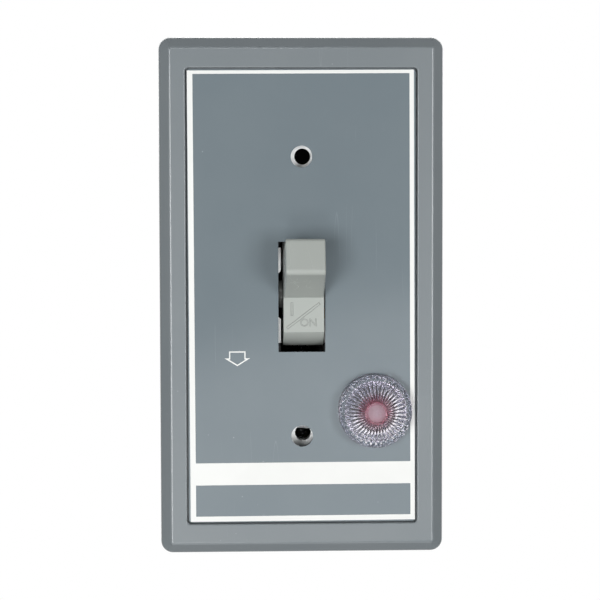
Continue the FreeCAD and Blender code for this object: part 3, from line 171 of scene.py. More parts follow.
def make_wear_marks():
    tree, given, result = new_group("wear marks", {"Dust": 0.5, "Scratches": 0.5}, ["Dust", "Scratches"])
    coordinates = add(tree, "ShaderNodeTexCoord").outputs["Object"]
    cells = put(add(tree, "ShaderNodeTexVoronoi"), Scale=SPECK_CELLS, Randomness=1.0)
    clouds = put(add(tree, "ShaderNodeTexNoise"), Scale=CLOUD_SCALE, Detail=CLOUD_DETAIL)
    slant = put(add(tree, "ShaderNodeMapping"), Rotation=STREAK_TURN, Scale=STREAK_STRETCH)
    for texture in (cells, clouds, slant):
        tree.links.new(coordinates, texture.inputs["Vector"])
    streaks = put(add(tree, "ShaderNodeTexNoise"), Scale=STREAK_SCALE, Detail=STREAK_DETAIL)
    tree.links.new(slant.outputs["Vector"], streaks.inputs["Vector"])
    specks = ramp(tree, cells.outputs["Distance"], SPECK_SIZE, SPECK_CORE)
    dusty = maths(tree, "GREATER_THAN", clouds.outputs["Fac"], DUSTY_CLOUD)
    off_middle = maths(tree, "SUBTRACT", streaks.outputs["Fac"], STREAK_MIDDLE)
    lines = ramp(tree, maths(tree, "ABSOLUTE", off_middle, 0.0), HAIRLINE, 0.0)
    scratched = ramp(tree, clouds.outputs["Fac"], *SCRATCHED_CLOUD)
    for title, marks, where in (("Dust", specks, dusty), ("Scratches", lines, scratched)):
        placed = maths(tree, "MULTIPLY", marks, where)
        tree.links.new(maths(tree, "MULTIPLY", placed, given.outputs[title]), result.inputs[title])
    return tree


surface_grain = make_surface_grain()
wear_marks = make_wear_marks()
print("node groups:", surface_grain.name, "and", wear_marks.name)

# %% [markdown]
# ## One finish for each kind of surface
#
# The record names a material slot for every piece: painted box, moulded bezel, zinc strap, brass and
# copper inside. Each could be wired by hand, but they differ only in numbers. So one function builds the
# nodes, and each row below says what a surface looks like: the main tone and a second one that shows in
# patches, roughness and how much the grain varies it, metal or not, how fine and how deep the grain is,
# and how much dust and how many scratches it carries. Tones are linear colour. The last three rows are for
# the ink, the toggle's marks and the floor, which the record doesn't name.

# %% Finishes
FINISHES = {
    "box_paint": dict(tone=(0.235, 0.255, 0.265), second=(0.205, 0.225, 0.235), rough=0.42,
                      grain=1500.0, bump=0.10, dust=0.3, scratch=0.2),
    "bezel_moulding": dict(tone=(0.212, 0.238, 0.252), second=(0.202, 0.229, 0.244), rough=0.20,
                           grain=2600.0, bump=0.012, dust=0.2, scratch=0.12),
    "plate_paint": dict(tone=(0.180, 0.219, 0.241), second=(0.172, 0.211, 0.234), rough=0.08,
                        grain=1800.0, bump=0.01, dust=0.35, scratch=0.12),
    "toggle_moulding": dict(tone=(0.404, 0.431, 0.408), second=(0.386, 0.413, 0.390), rough=0.26,
                            vary=0.03, grain=2400.0, bump=0.002, dust=0.2, scratch=0.3),
    "zinc_steel": dict(tone=(0.86, 0.87, 0.86), second=(0.76, 0.78, 0.79), rough=0.36, metal=1.0,
                       grain=3000.0, bump=0.10, scratch=0.6),
    "phenolic": dict(tone=(0.028, 0.026, 0.025), second=(0.040, 0.036, 0.033), rough=0.46,
                     grain=1900.0, bump=0.10, dust=0.3),
    "fibre": dict(tone=(0.070, 0.072, 0.075), second=(0.050, 0.052, 0.056), rough=0.75,
                  grain=1400.0, bump=0.25),
    "spring_steel": dict(tone=(0.50, 0.50, 0.51), second=(0.40, 0.40, 0.42), rough=0.28, metal=1.0,
                         grain=2600.0, bump=0.05),
    "silver_contact": dict(tone=(0.86, 0.85, 0.82), second=(0.70, 0.68, 0.62), rough=0.30, metal=1.0,
                           grain=2600.0, bump=0.06),
    "copper": dict(tone=(0.72, 0.36, 0.22), second=(0.58, 0.27, 0.16), rough=0.34, metal=1.0,
                   grain=2200.0, bump=0.06, scratch=0.4),
    "brass_parts": dict(tone=(0.74, 0.56, 0.25), second=(0.62, 0.45, 0.20), rough=0.33, metal=1.0,
                        grain=2200.0, bump=0.06, scratch=0.4),
    "heater_wire": dict(tone=(0.34, 0.32, 0.31), second=(0.26, 0.23, 0.24), rough=0.45, metal=1.0,
                        grain=2800.0, bump=0.08),
    "nylon": dict(tone=(0.62, 0.60, 0.54), second=(0.57, 0.55, 0.49), rough=0.40,
                  grain=2000.0, bump=0.04),
    "lead_sleeve": dict(tone=(0.030, 0.030, 0.032), second=(0.045, 0.045, 0.047), rough=0.55,
                        grain=2400.0, bump=0.06),
    "green_screw": dict(tone=(0.05, 0.28, 0.10), second=(0.04, 0.21, 0.08), rough=0.38, metal=0.6,
                        grain=2400.0, bump=0.08, scratch=0.5),
    "clear_lens": dict(tone=(0.97, 0.95, 1.0), second=(0.95, 0.92, 0.98), rough=0.05,
                       grain=900.0, bump=0.03),
    "red_cap": dict(tone=(0.20, 0.070, 0.098), second=(0.17, 0.055, 0.080), rough=0.45,
                    grain=1500.0, bump=0.02),
    "print_ink": dict(tone=(0.83, 0.84, 0.82), second=(0.80, 0.81, 0.79), rough=0.40,
                      grain=2600.0, bump=0.03, dust=0.2),
    "mark_shadow": dict(tone=(0.27, 0.285, 0.27), second=(0.25, 0.265, 0.25), rough=0.5,
                        grain=2600.0, bump=0.02),
    "floor_paint": dict(tone=(0.80, 0.80, 0.79), second=(0.77, 0.77, 0.76), rough=0.7,
                        grain=300.0, bump=0.05),
}
DUST_TONE = (0.62, 0.64, 0.64, 1.0)
MARK_DULLING = 0.2
GRAIN_DEPTH = 0.06 * MM
SHADER = "Principled BSDF"


def make_finish(name, tone, second, rough, grain, bump, vary=0.12, metal=0.0, dust=0.0, scratch=0.0):
    """Material with two tones in patches, grain in its gloss and its relief, and wear marks."""
    material = bpy.data.materials.new(name)
    material.use_nodes = True
    tree = material.node_tree
    shader = put(tree.nodes[SHADER], Metallic=metal)
    texture = put(add(tree, "ShaderNodeGroup", node_tree=surface_grain), Grain_Scale=grain)
    wear = put(add(tree, "ShaderNodeGroup", node_tree=wear_marks), Dust=dust, Scratches=scratch)
    marks = maths(tree, "ADD", wear.outputs["Dust"], wear.outputs["Scratches"])
    colour = mix(tree, "RGBA", texture.outputs["Patches"], (*tone, 1.0), (*second, 1.0))
    tree.links.new(mix(tree, "RGBA", marks, colour, DUST_TONE), shader.inputs["Base Color"])
    fine = ramp(tree, texture.outputs["Grain"], 0.0, 1.0, rough * (1.0 - vary), rough * (1.0 + vary))
    dulled = maths(tree, "ADD", fine, maths(tree, "MULTIPLY", marks, MARK_DULLING))
    tree.links.new(dulled, shader.inputs["Roughness"])
    relief = put(add(tree, "ShaderNodeBump"), Strength=bump, Distance=GRAIN_DEPTH)
    tree.links.new(texture.outputs["Grain"], relief.inputs["Height"])
    tree.links.new(relief.outputs["Normal"], shader.inputs["Normal"])
    return material


materials = {name: make_finish(name, **spec) for name, spec in FINISHES.items()}
print("finishes:", len(materials))

# %% [markdown]
# ## The pilot light's two finishes
#
# The lens is clear moulded plastic, frosted on the small flat at its middle. Around that flat, the red of the
# cap as seen through the lens is painted into the lens's own colour, a painted see-through image. The red
# cap below it is paler at its tip. Separate meshes could carry those zones, but their borders are soft on
# the real piece. A third node group, `near axis`, marks what lies within a given radius of the lens's axis,
# with a soft edge, and both finishes use it.

# %% Near the lens's axis
PLATE_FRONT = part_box("cover_plate")[0].y
lens_low, lens_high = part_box("pilot_lens")
LENS_AXIS = Vector(((lens_low.x + lens_high.x) / 2, PLATE_FRONT, (lens_low.z + lens_high.z) / 2))


def make_near_axis():
    tree, given, result = new_group("near axis", {"Radius": 2.0 * MM, "Softness": 0.3 * MM}, ["Inside"])
    offset = add(tree, "ShaderNodeVectorMath", operation="SUBTRACT")
    offset.inputs[1].default_value = LENS_AXIS
    tree.links.new(add(tree, "ShaderNodeTexCoord").outputs["Object"], offset.inputs[0])
    flat = add(tree, "ShaderNodeVectorMath", operation="MULTIPLY")
    flat.inputs[1].default_value = (1.0, 0.0, 1.0)
    tree.links.new(offset.outputs[0], flat.inputs[0])
    reach = add(tree, "ShaderNodeVectorMath", operation="LENGTH")
    tree.links.new(flat.outputs[0], reach.inputs[0])
    beyond = maths(tree, "SUBTRACT", reach.outputs["Value"], given.outputs["Radius"])
    share = maths(tree, "DIVIDE", beyond, given.outputs["Softness"])
    tree.links.new(ramp(tree, share, 1.0, 0.0), result.inputs["Inside"])
    return tree


near_axis = make_near_axis()
print("lens axis, mm:", [round(place / MM, 2) for place in LENS_AXIS])

# %% Clear lens and red cap
# Zones round the axis: radius, and how far the edge fades out beyond it
FLAT_ZONE = (1.75 * MM, 0.25 * MM)
# Around the flat: painted see-through image of the red cap below the lens
SEEN_CAP_ZONE = (3.2 * MM, 1.6 * MM)
PALE_ZONE = (0.8 * MM, 1.1 * MM)
FROSTING = 0.4
CLEAR_INDEX = 1.49
PALE_TIP = (0.21, 0.13, 0.15, 1.0)
# Red of the cap as seen through the lens, painted into the lens's own colour
SEEN_CAP_RED = (0.84, 0.61, 0.68, 1.0)


def zone(tree, radius, softness):
    mask = put(add(tree, "ShaderNodeGroup", node_tree=near_axis), Radius=radius, Softness=softness)
    return mask.outputs["Inside"]


def tint(tree, amount, tone):
    """Take a finish's colour towards a tone, by an amount that changes over the surface."""
    socket = tree.nodes[SHADER].inputs["Base Color"]
    tree.links.new(mix(tree, "RGBA", amount, socket.links[0].from_socket, tone), socket)


def clear_up(tree):
    """Make a finish see-through, with a frosted flat and around it a painted image of the red cap seen through it.
    """
    shader = put(tree.nodes[SHADER], IOR=CLEAR_INDEX, Transmission_Weight=1.0)
    flat = zone(tree, *FLAT_ZONE)
    fine = shader.inputs["Roughness"].links[0].from_socket
    frosted = maths(tree, "ADD", fine, maths(tree, "MULTIPLY", flat, FROSTING))
    tree.links.new(frosted, shader.inputs["Roughness"])
    # Painted see-through image: the cap's red painted into the lens's colour around the frosted flat
    tint(tree, maths(tree, "SUBTRACT", zone(tree, *SEEN_CAP_ZONE), flat), SEEN_CAP_RED)


clear_up(materials["clear_lens"].node_tree)
cap_tree = materials["red_cap"].node_tree
tint(cap_tree, zone(cap_tree, *PALE_ZONE), PALE_TIP)
# The blush in this print is the painted see-through image of the red cap
print("zones: flat, blush and pale tip")

# %% Dress the CAD nodes
for name, node in nodes.items():
    node.data.materials.clear()
    node.data.materials.append(materials[slot_of[name]])
print("dressed:", len(nodes), "CAD nodes")

# %% [markdown]
# ## The print on the plate
#
# The plate carries a white border, a plain white bar and an outlined arrow that points down. A mask in
# the plate's material could draw them, but its edges would blur in an exported texture. So each is a thin
# layer of ink with its own mesh, which stays sharp and catches the light as real ink does. The border and
# the bar share one grid of cells, because two layers that overlap would flicker. The print was laid a
# touch askew, so all of it is turned by a fifth of a degree about the plate's middle. Sizes are in
# millimetres from the middle of the plate.

# %% Ink shapes
INK = 0.03 * MM
PRINT_TURN = math.radians(0.2)
# Cell edges of the border and the bar, across and up, and the two cells that stay bare
CELLS_ACROSS = (-24.3, -23.12, 23.35, 24.3)
CELLS_UP = (-48.6, -47.48, -40.68, -35.87, 47.88, 48.6)
BARE_CELLS = {(1, 1), (1, 3)}
# Corners of the arrow, clockwise
ARROW = [(-15.75, -11.65), (-12.2, -11.65), (-12.2, -13.15), (-11.2, -13.15), (-13.97, -14.85),
         (-16.75, -13.15), (-15.75, -13.15)]
ARROW_LINE = 0.26


def shrink(points, line):
    """The same closed outline, moved in by the width of a line (points run clockwise)."""
    count = len(points)
    inner = []
    for index in range(count):
        before, here, after = (Vector(points[(index + step) % count]) for step in (-1, 0, 1))
        first = (here - before).normalized()
        second = (after - here).normalized()
        normals = [Vector((side.y, -side.x)) for side in (first, second)]
        reach = line / (1.0 + normals[0].dot(normals[1]))
        inner.append(tuple(here + (normals[0] + normals[1]) * reach))
    return inner


def on_plate(point, depth):
    """Place of a print point at a depth of ink."""
    turned = Matrix.Rotation(PRINT_TURN, 2) @ Vector(point)
    return Vector((turned.x * MM, PLATE_FRONT - depth, turned.y * MM))


def ink_layers(mesh, lines):
    """Rows of corners on the plate, and the same rows on top of the ink."""
    return [[[mesh.verts.new(on_plate(point, depth)) for point in line] for line in lines]
            for depth in (0.0, INK)]


def ink_ring(mesh, outer, inner):
    """Ink between two outlines with as many corners as each other."""
    (low_out, low_in), (top_out, top_in) = ink_layers(mesh, (outer, inner))
    count = len(outer)
    for index in range(count):
        after = (index + 1) % count
        mesh.faces.new((top_out[index], top_out[after], top_in[after], top_in[index]))
        mesh.faces.new((low_out[after], low_out[index], low_in[index], low_in[after]))
        mesh.faces.new((low_out[index], low_out[after], top_out[after], top_out[index]))
        mesh.faces.new((low_in[after], low_in[index], top_in[index], top_in[after]))


def ink_cells(mesh, across, up, bare):
    """Ink on a grid of cells, walled wherever a cell meets a bare one or the outside."""
    low, top = ink_layers(mesh, [[(x, z) for z in up] for x in across])
    inked = {(i, j) for i in range(len(across) - 1) for j in range(len(up) - 1)} - bare
    for i, j in inked:
        ring = [(i, j), (i + 1, j), (i + 1, j + 1), (i, j + 1)]
        mesh.faces.new([top[a][b] for a, b in ring])
        mesh.faces.new([low[a][b] for a, b in reversed(ring)])
        for side, beyond in enumerate([(i, j - 1), (i + 1, j), (i, j + 1), (i - 1, j)]):
            if beyond not in inked:
                (a, b), (c, d) = ring[side], ring[(side + 1) % 4]
                mesh.faces.new((low[a][b], low[c][d], top[c][d], top[a][b]))


def as_data(mesh, name):
    """Turn a bmesh into mesh data."""
    data = bpy.data.meshes.new(name)
    mesh.to_mesh(data)
    mesh.free()
    return data


def finish_mesh(mesh, name, material, body):
    """Turn a bmesh into a piece that rides on a body."""
    bmesh.ops.recalc_face_normals(mesh, faces=mesh.faces)
    data = as_data(mesh, name)
    data.materials.append(material)
    piece = bpy.data.objects.new(name, data)
    bpy.context.scene.collection.objects.link(piece)
    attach(piece, body)
    return piece


# %% Print the plate
ink = bmesh.new()
ink_cells(ink, CELLS_ACROSS, CELLS_UP, BARE_CELLS)
ink_ring(ink, ARROW, shrink(ARROW, ARROW_LINE))
plate_print = finish_mesh(ink, "plate_print", materials["print_ink"], "enclosure")
print("print:", len(plate_print.data.polygons), "faces")

# %% [markdown]
# ## Switch marks on the toggle
#
# The toggle's two sloped faces carry moulded marks in fine outline: a bar, a slash and ON on the face
# that shows now, and a ring, a slash and OFF on the face that shows when the toggle is down. Cutting them
# into the solid would change a CAD node. A bump map would change only the shading, not the mesh. So each
# mark is a closed hairline, a curve with a small round section turned into a mesh, that lies half sunk in
# the face and rides with the toggle.

# %% Faces that carry the marks
PIVOT = Vector(joints["toggle_tilt"]["pos_m"])
ON_ANGLE = math.radians(23.5)
# Ends of a mark face from the pivot, along Y and Z, with the toggle held level
FACE_ROOT = Vector((-10.0, 4.475)) * MM
FACE_END = Vector((-5.0, 15.895)) * MM


def face_frame(side):
    """Matrix of a mark face: local X to the right, local Y up the face, local Z out of it."""
    root = Vector((0.0, FACE_ROOT.x, FACE_ROOT.y * side))
    end = Vector((0.0, FACE_END.x, FACE_END.y * side))
    along = (end - root).normalized() * side
    out = Vector((1.0, 0.0, 0.0)).cross(along)
    level = Matrix((
        (1.0, 0.0, 0.0, 0.0),
        (0.0, along.y, out.y, root.y),
        (0.0, along.z, out.z, root.z),
        (0.0, 0.0, 0.0, 1.0),
    ))
    return Matrix.Translation(PIVOT) @ Matrix.Rotation(-ON_ANGLE, 4, "X") @ level


# %% Mark outlines
LINE_HAIR, WORD_HAIR = 0.09 * MM, 0.045 * MM
WORD_SIZE = 2.35 * MM


def slash_line(start, end, width):
    """Thin closed bar between two points."""
    start, end = Vector(start), Vector(end)
    across = (end - start).orthogonal().normalized() * (width / 2)
    return [start - across, end - across, end + across, start + across]


def ring_line(middle, radius_x, radius_y, count=28):
    """Closed oval round a point."""
    turns = [2 * math.pi / count * index for index in range(count)]
    return [Vector((middle[0] + radius_x * math.cos(turn), middle[1] + radius_y * math.sin(turn)))
            for turn in turns]


def hair_curve(name, outlines):
    """Curve object with one closed line for each outline, in millimetres on the face."""
    data = bpy.data.curves.new(name, "CURVE")
    data.dimensions = "3D"
    data.bevel_depth = LINE_HAIR
    data.bevel_resolution = 2
    for outline in outlines:
        line = data.splines.new("POLY")
        line.points.add(len(outline) - 1)
        for point, place in zip(line.points, outline):
            point.co = (place.x * MM, place.y * MM, 0.0, 1.0)
        line.use_cyclic_u = True
    return bpy.data.objects.new(name, data)


def hair_word(name, word, place):
    """Word in outline, its letters left hollow."""
    data = bpy.data.curves.new(name, "FONT")
    data.body = word
    data.size = WORD_SIZE
    data.align_x = "CENTER"
    data.fill_mode = "NONE"
    data.bevel_depth = WORD_HAIR
    data.bevel_resolution = 1
    data.resolution_u = 4
    text = bpy.data.objects.new(name, data)
    text.location = (place[0] * MM, place[1] * MM, 0.0)
    return text


def evaluated_mesh(thing):
    """Plain mesh of an object as its curve or modifiers make it; the object itself is removed."""
    bpy.context.scene.collection.objects.link(thing)
    bpy.context.view_layer.update()
    evaluated = thing.evaluated_get(bpy.context.evaluated_depsgraph_get())
    data = bpy.data.meshes.new_from_object(evaluated)
    data.transform(thing.matrix_world)
    bpy.data.objects.remove(thing)
    return data


# %% Mark both faces
SLASH_WIDTH, BAR_WIDTH = 0.5, 0.42
# Name: side of the toggle, word, place of the word, outlines
MARKS = {
    "on_marks": (-1, "ON", (1.0, -6.15), [slash_line((-3.6, -6.55), (3.4, -1.25), SLASH_WIDTH),
                                          slash_line((-2.55, -3.85), (-2.55, -1.05), BAR_WIDTH)]),
    "off_marks": (1, "OFF", (1.1, 1.3), [slash_line((-3.25, 1.2), (3.4, 6.5), SLASH_WIDTH),
                                         ring_line((-2.0, 5.4), 0.95, 1.2)]),
}
for name, (side, word, place, outlines) in MARKS.items():
    marks = bmesh.new()
    for thing in (hair_curve(name + "_lines", outlines), hair_word(name + "_word", word, place)):
        data = evaluated_mesh(thing)
        data.transform(face_frame(side))
        marks.from_mesh(data)
    piece = finish_mesh(marks, name, materials["mark_shadow"], "toggle")
    print("marks:", name, len(piece.data.polygons), "faces")

# %% [markdown]
# ## The fluted lens
#
# The real lens is a hollow clear cap whose cone is covered with radial flutes, which break the light up.
# A spin with a wavy profile could make it, or a displacement, but both need far more faces for the same
# sharp valleys. One flute is a thin slice: a ridge in the middle, a valley at each side, and the hollow
# behind it. A geometry node tree copies that slice round the lens's axis, welds the copies together and
# gives the result its material. The finished mesh then stands for the plain CAD lens. Sizes are in
# millimetres from the axis and from the plate.

# %% One slice of the lens
FLUTES = 40
FLUTE_DEPTH = 0.6
LENS_TOP = (PLATE_FRONT - lens_low.y) / MM
LENS_RADIUS = (lens_high.x - lens_low.x) / 2 / MM
SHANK_RADIUS, SHANK_BORE, SHANK_END = 5.3, 4.3, -7.8
SEAT = 0.05
# Outside of the cone: radius, drop from the top, share of the flute depth, share of it taken along the axis
CONE = [
    (0.0, 0.0, 0.0, 1.0), (1.2, 0.0, 0.0, 1.0), (1.95, 0.02, 0.0, 1.0), (2.15, 0.15, 0.0, 1.0),
    (2.6, 0.42, 0.4, 1.0), (3.4, 0.90, 0.7, 1.0), (4.4, 1.5, 0.9, 1.0), (5.4, 2.11, 1.0, 1.0),
    (6.3, 2.65, 1.0, 1.0), (7.05, 3.07, 0.85, 0.9), (7.55, 3.38, 0.5, 0.8), (7.78, 3.68, 0.15, 0.5),
    (7.88, 4.0, 0.0, 0.0), (7.92, 4.6, 0.0, 0.0),
]
# Radius and height of the plain rim and shank, and then of the hollow from its mouth up to the axis
RIM = [
    (7.94, 0.95), (LENS_RADIUS - 0.02, 0.75), (LENS_RADIUS, 0.6), (LENS_RADIUS, SEAT),
    (SHANK_RADIUS, SEAT), (SHANK_RADIUS, SHANK_END),
]
HOLLOW = [
    (SHANK_BORE, SHANK_END), (SHANK_BORE, 0.98), (6.8, 1.1), (6.95, 1.5), (6.9, 2.1), (6.5, 2.7),
    (5.4, 3.4), (3.8, 4.5), (2.2, 5.5), (1.0, 5.6), (0.0, 5.6),
]
STATIONS = [(radius, LENS_TOP - drop, depth, along) for radius, drop, depth, along in CONE]
STATIONS += [(radius, height, 0.0, 0.0) for radius, height in RIM + HOLLOW]
# Share of the sink at each column of the slice, from one valley over the ridge to the next valley
COLUMNS = [1.0, 0.5, 0.12, 0.0, 0.12, 0.5, 1.0]


def lens_point(radius, height, depth, along, column):
    """Point of the slice; a column away from the ridge lies deeper."""
    sink = FLUTE_DEPTH * depth * COLUMNS[column]
    angle = (column / (len(COLUMNS) - 1) - 0.5) * 2 * math.pi / FLUTES
    reach = radius - sink * (1.0 - along)
    return Vector((reach * math.sin(angle), -(height - sink * along), reach * math.cos(angle))) * MM


def make_slice():
    mesh = bmesh.new()
    grid = []
    for station in STATIONS:
        if station[0] == 0.0:
            grid.append([mesh.verts.new((0.0, -station[1] * MM, 0.0))] * len(COLUMNS))
        else:
            grid.append([mesh.verts.new(lens_point(*station, column)) for column in range(len(COLUMNS))])
    for upper, lower in zip(grid, grid[1:]):
        for column in range(len(COLUMNS) - 1):
            loop = [upper[column], upper[column + 1], lower[column + 1], lower[column]]
            mesh.faces.new(list(dict.fromkeys(loop)))
    return bpy.data.objects.new("lens_slice", as_data(mesh, "lens_slice"))


# %% Copy the slice round the axis
WELD = 0.002 * MM
FLUTE_SOCKETS = {
    "Slice": "NodeSocketGeometry",
    "Flutes": "NodeSocketInt",
    "Axis": "NodeSocketVector",
    "Material": "NodeSocketMaterial",
}


def flute_tree():
    tree = bpy.data.node_groups.new("flutes", "GeometryNodeTree")
    for title, kind in FLUTE_SOCKETS.items():
        tree.interface.new_socket(title, in_out="INPUT", socket_type=kind)
    tree.interface.new_socket("Lens", in_out="OUTPUT", socket_type="NodeSocketGeometry")
    given, result = add(tree, "NodeGroupInput"), add(tree, "NodeGroupOutput")
    points = add(tree, "GeometryNodePoints")
    tree.links.new(given.outputs["Flutes"], points.inputs["Count"])
    index = add(tree, "GeometryNodeInputIndex").outputs[0]
    share = maths(tree, "DIVIDE", index, given.outputs["Flutes"])
    turn = add(tree, "ShaderNodeCombineXYZ")
    tree.links.new(maths(tree, "MULTIPLY", share, 2 * math.pi), turn.inputs["Y"])
    copies = add(tree, "GeometryNodeInstanceOnPoints")
    tree.links.new(points.outputs[0], copies.inputs["Points"])
    tree.links.new(given.outputs["Slice"], copies.inputs["Instance"])
    tree.links.new(turn.outputs["Vector"], copies.inputs["Rotation"])
    real = add(tree, "GeometryNodeRealizeInstances")
    welded = put(add(tree, "GeometryNodeMergeByDistance"), Distance=WELD)
    placed = add(tree, "GeometryNodeTransform")
    tree.links.new(given.outputs["Axis"], placed.inputs["Translation"])
    dressed = add(tree, "GeometryNodeSetMaterial")
    tree.links.new(given.outputs["Material"], dressed.inputs["Material"])
    steps = (copies, real, welded, placed, dressed, result)
    for before, after in zip(steps, steps[1:]):
        tree.links.new(before.outputs[0], after.inputs[0])
    return tree


def grow_lens():
    seed = make_slice()
    tree = flute_tree()
    modifier = seed.modifiers.new("flutes", "NODES")
    modifier.node_group = tree
    names = {item.name: item.identifier for item in tree.interface.items_tree if item.in_out == "INPUT"}
    modifier[names["Flutes"]] = FLUTES
    modifier[names["Axis"]] = LENS_AXIS
    modifier[names["Material"]] = materials["clear_lens"]
    return evaluated_mesh(seed)


grown = bmesh.new()
grown.from_mesh(grow_lens())
lens = finish_mesh(grown, "fluted_lens", materials["clear_lens"], "enclosure")
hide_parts("pilot_lens")
print("lens:", len(lens.data.polygons), "faces, flutes:", FLUTES)

# %% [markdown]
# ## Camera
#
# The camera stands where the photograph was taken from: nearly straight in front, a little to the left
# and a little above, with a long lens. Its place could be found by eye. Here it was fitted so that the
# bezel, the plate, the slot and the pilot lens all fall where the photograph has them, and the lens's
# shift does only the framing.

# %% Camera
AIM = Vector((0.0, PLATE_FRONT, 0.0))
CAMERA_AZIMUTH, CAMERA_ELEVATION, CAMERA_ROLL = -2.17, 3.74, -0.12
CAMERA_DISTANCE = 0.45
SENSOR_WIDTH = 36.0
# The photograph's width, the focal length and the shifts, all in pixels
FRAME_WIDTH = 600.0
FOCAL_LENGTH = 2090.0
SHIFT_ACROSS, SHIFT_UP = -1.8, -3.1


def toward(azimuth, elevation):
    """Direction in which a camera or a panel stands, in degrees from straight in front."""
    turn, rise = math.radians(azimuth), math.radians(elevation)
    return Vector((math.sin(turn) * math.cos(rise), -math.cos(turn) * math.cos(rise), math.sin(rise)))


def aimed(direction):
    """Turn of a thing that stands in a direction and looks back."""
    return (-direction).to_track_quat("-Z", "Y")


camera_data = bpy.data.cameras.new("photo_camera")
camera_data.sensor_width = SENSOR_WIDTH
camera_data.lens = FOCAL_LENGTH / FRAME_WIDTH * SENSOR_WIDTH
camera_data.shift_x = SHIFT_ACROSS / FRAME_WIDTH
camera_data.shift_y = SHIFT_UP / FRAME_WIDTH
camera = bpy.data.objects.new("photo_camera", camera_data)
camera_side = toward(CAMERA_AZIMUTH, CAMERA_ELEVATION)
camera_place = Matrix.Translation(AIM + camera_side * CAMERA_DISTANCE)
camera_roll = Matrix.Rotation(math.radians(CAMERA_ROLL), 4, "Z")
camera.matrix_world = camera_place @ aimed(camera_side).to_matrix().to_4x4() @ camera_roll
bpy.context.scene.collection.objects.link(camera)
bpy.context.scene.camera = camera
print("camera lens:", round(camera_data.lens, 1), "mm")

# %% [markdown]
# ## Light
#
# The photograph is lit from the front: two soft panels stand to the left and right of the camera, a
# weaker one below it throws the toggle's shadow up the plate, and a small one above it draws the light
# line along the bezel's upper crease. Two more stand behind the object, where the photograph doesn't see
# them, so that its sides, top and back are lit as well as its front. The world fills in the rest. One big
# soft light could do the whole job, but it would wash out the toggle's shadow. What the camera sees past
# the object is plain white. What the glossy plate mirrors is a darker room above and a white table below,
# whose slanted edge runs across the plate as a change of tone. Behind the object the mirrored world is
# white, as the background is.

# %% World
WHITE = (1.0, 1.0, 1.0, 1.0)
FRONT = (0.0, -1.0, 0.0)
AMBIENT, THROUGH, BACKGROUND = 0.12, 1.3, 1.0
ROOM, TABLE = 0.25, 1.9
TABLE_SLANT = (-0.29, 0.0, 1.0)
TABLE_FAR = (-0.0975, -0.0815)
TABLE_NEAR = (-0.38, -0.18)
TABLE_AHEAD = (0.80, 0.93)
WHITE_BEHIND = (-0.3, -0.7)


def reach_along(tree, direction):
    """How far a ray's direction goes along another direction."""
    reach = add(tree, "ShaderNodeVectorMath", operation="DOT_PRODUCT")
    reach.inputs[1].default_value = direction
    tree.links.new(add(tree, "ShaderNodeTexCoord").outputs["Generated"], reach.inputs[0])
    return reach.outputs["Value"]


def make_world():
    world = bpy.data.worlds.new("tent")
    world.use_nodes = True
    tree = world.node_tree
    ground = put(tree.nodes["Background"], Color=WHITE)
    height = reach_along(tree, TABLE_SLANT)
    ahead = reach_along(tree, FRONT)
    far_edge = ramp(tree, height, *TABLE_FAR, 1.0, 0.0)
    depth = maths(tree, "MULTIPLY", ramp(tree, height, *TABLE_NEAR), far_edge)
    table = maths(tree, "MULTIPLY", depth, ramp(tree, ahead, *TABLE_AHEAD))
    mirrored = mix(tree, "FLOAT", table, ROOM, TABLE)
    mirrored = mix(tree, "FLOAT", ramp(tree, ahead, *WHITE_BEHIND), mirrored, BACKGROUND)
    path = add(tree, "ShaderNodeLightPath")
    level = mix(tree, "FLOAT", path.outputs["Is Glossy Ray"], AMBIENT, mirrored)
    level = mix(tree, "FLOAT", path.outputs["Is Transmission Ray"], level, THROUGH)
    level = mix(tree, "FLOAT", path.outputs["Is Camera Ray"], level, BACKGROUND)
    tree.links.new(level, ground.inputs["Strength"])
    return world


bpy.context.scene.world = make_world()
print("world:", bpy.context.scene.world.name)

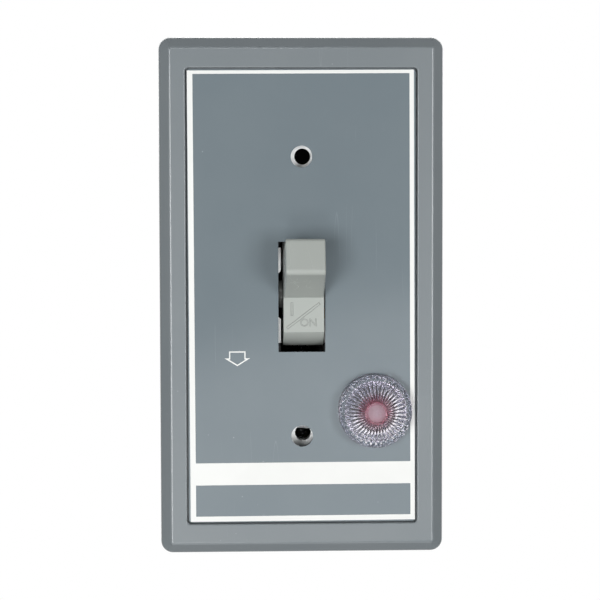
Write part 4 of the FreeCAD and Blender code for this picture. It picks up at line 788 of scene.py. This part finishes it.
# %% Panels
# Name: azimuth, elevation, distance, side length, watts
PANELS = {
    "panel_left": (-23.0, -4.0, 0.9, 0.34, 4.4),
    "panel_right": (28.0, -2.0, 0.9, 0.34, 3.25),
    "panel_below": (-8.0, -27.0, 0.9, 0.22, 0.9),
    "panel_above": (0.0, 30.0, 0.9, 0.12, 0.4),
    "panel_behind_left": (-153.0, 28.0, 1.2, 1.2, 8.0),
    "panel_behind_right": (153.0, 28.0, 1.2, 1.2, 8.0),
}
for name, (azimuth, elevation, distance, side, watts) in PANELS.items():
    panel_data = bpy.data.lights.new(name, "AREA")
    panel_data.size = side
    panel_data.energy = watts
    panel = bpy.data.objects.new(name, panel_data)
    panel.location = AIM + toward(azimuth, elevation) * distance
    panel.rotation_euler = aimed(toward(azimuth, elevation)).to_euler()
    bpy.context.scene.collection.objects.link(panel)
bpy.context.scene.view_settings.view_transform = "Standard"
print("panels:", len(PANELS))

# %% [markdown]
# ## Floor
#
# A starter hangs on a wall at about breast height, so the studio's pale floor runs forward from the foot
# of that wall, well below the frame of the photograph. A floor right under the object would show a shadow
# that the photograph doesn't have. The floor is pale paint that glows for the eye alone, so that it comes
# out as white as the background and still carries what shadow reaches it.

# %% Pale floor
FLOOR_DROP = 1.2
FLOOR_HALF = 0.6
FLOOR_CELLS = 6
FLOOR_GLOW = 0.9


def glow_for_the_eye(tree):
    """Make a finish glow white, seen directly, mirrored or through the lens."""
    shader = put(tree.nodes[SHADER], Emission_Color=WHITE)
    path = add(tree, "ShaderNodeLightPath")
    seen = path.outputs["Is Camera Ray"]
    for kind in ("Is Glossy Ray", "Is Transmission Ray"):
        seen = maths(tree, "MAXIMUM", seen, path.outputs[kind])
    tree.links.new(maths(tree, "MULTIPLY", seen, FLOOR_GLOW), shader.inputs["Emission Strength"])


def make_floor():
    mesh = bmesh.new()
    bmesh.ops.create_grid(mesh, x_segments=FLOOR_CELLS, y_segments=FLOOR_CELLS, size=FLOOR_HALF,
                          matrix=Matrix.Translation((0.0, -FLOOR_HALF, -FLOOR_DROP)))
    data = as_data(mesh, "pale_floor")
    data.materials.append(materials["floor_paint"])
    return bpy.data.objects.new("pale_floor", data)


glow_for_the_eye(materials["floor_paint"].node_tree)
floor = make_floor()
bpy.context.scene.collection.objects.link(floor)
print("floor:", len(floor.data.polygons), "faces")
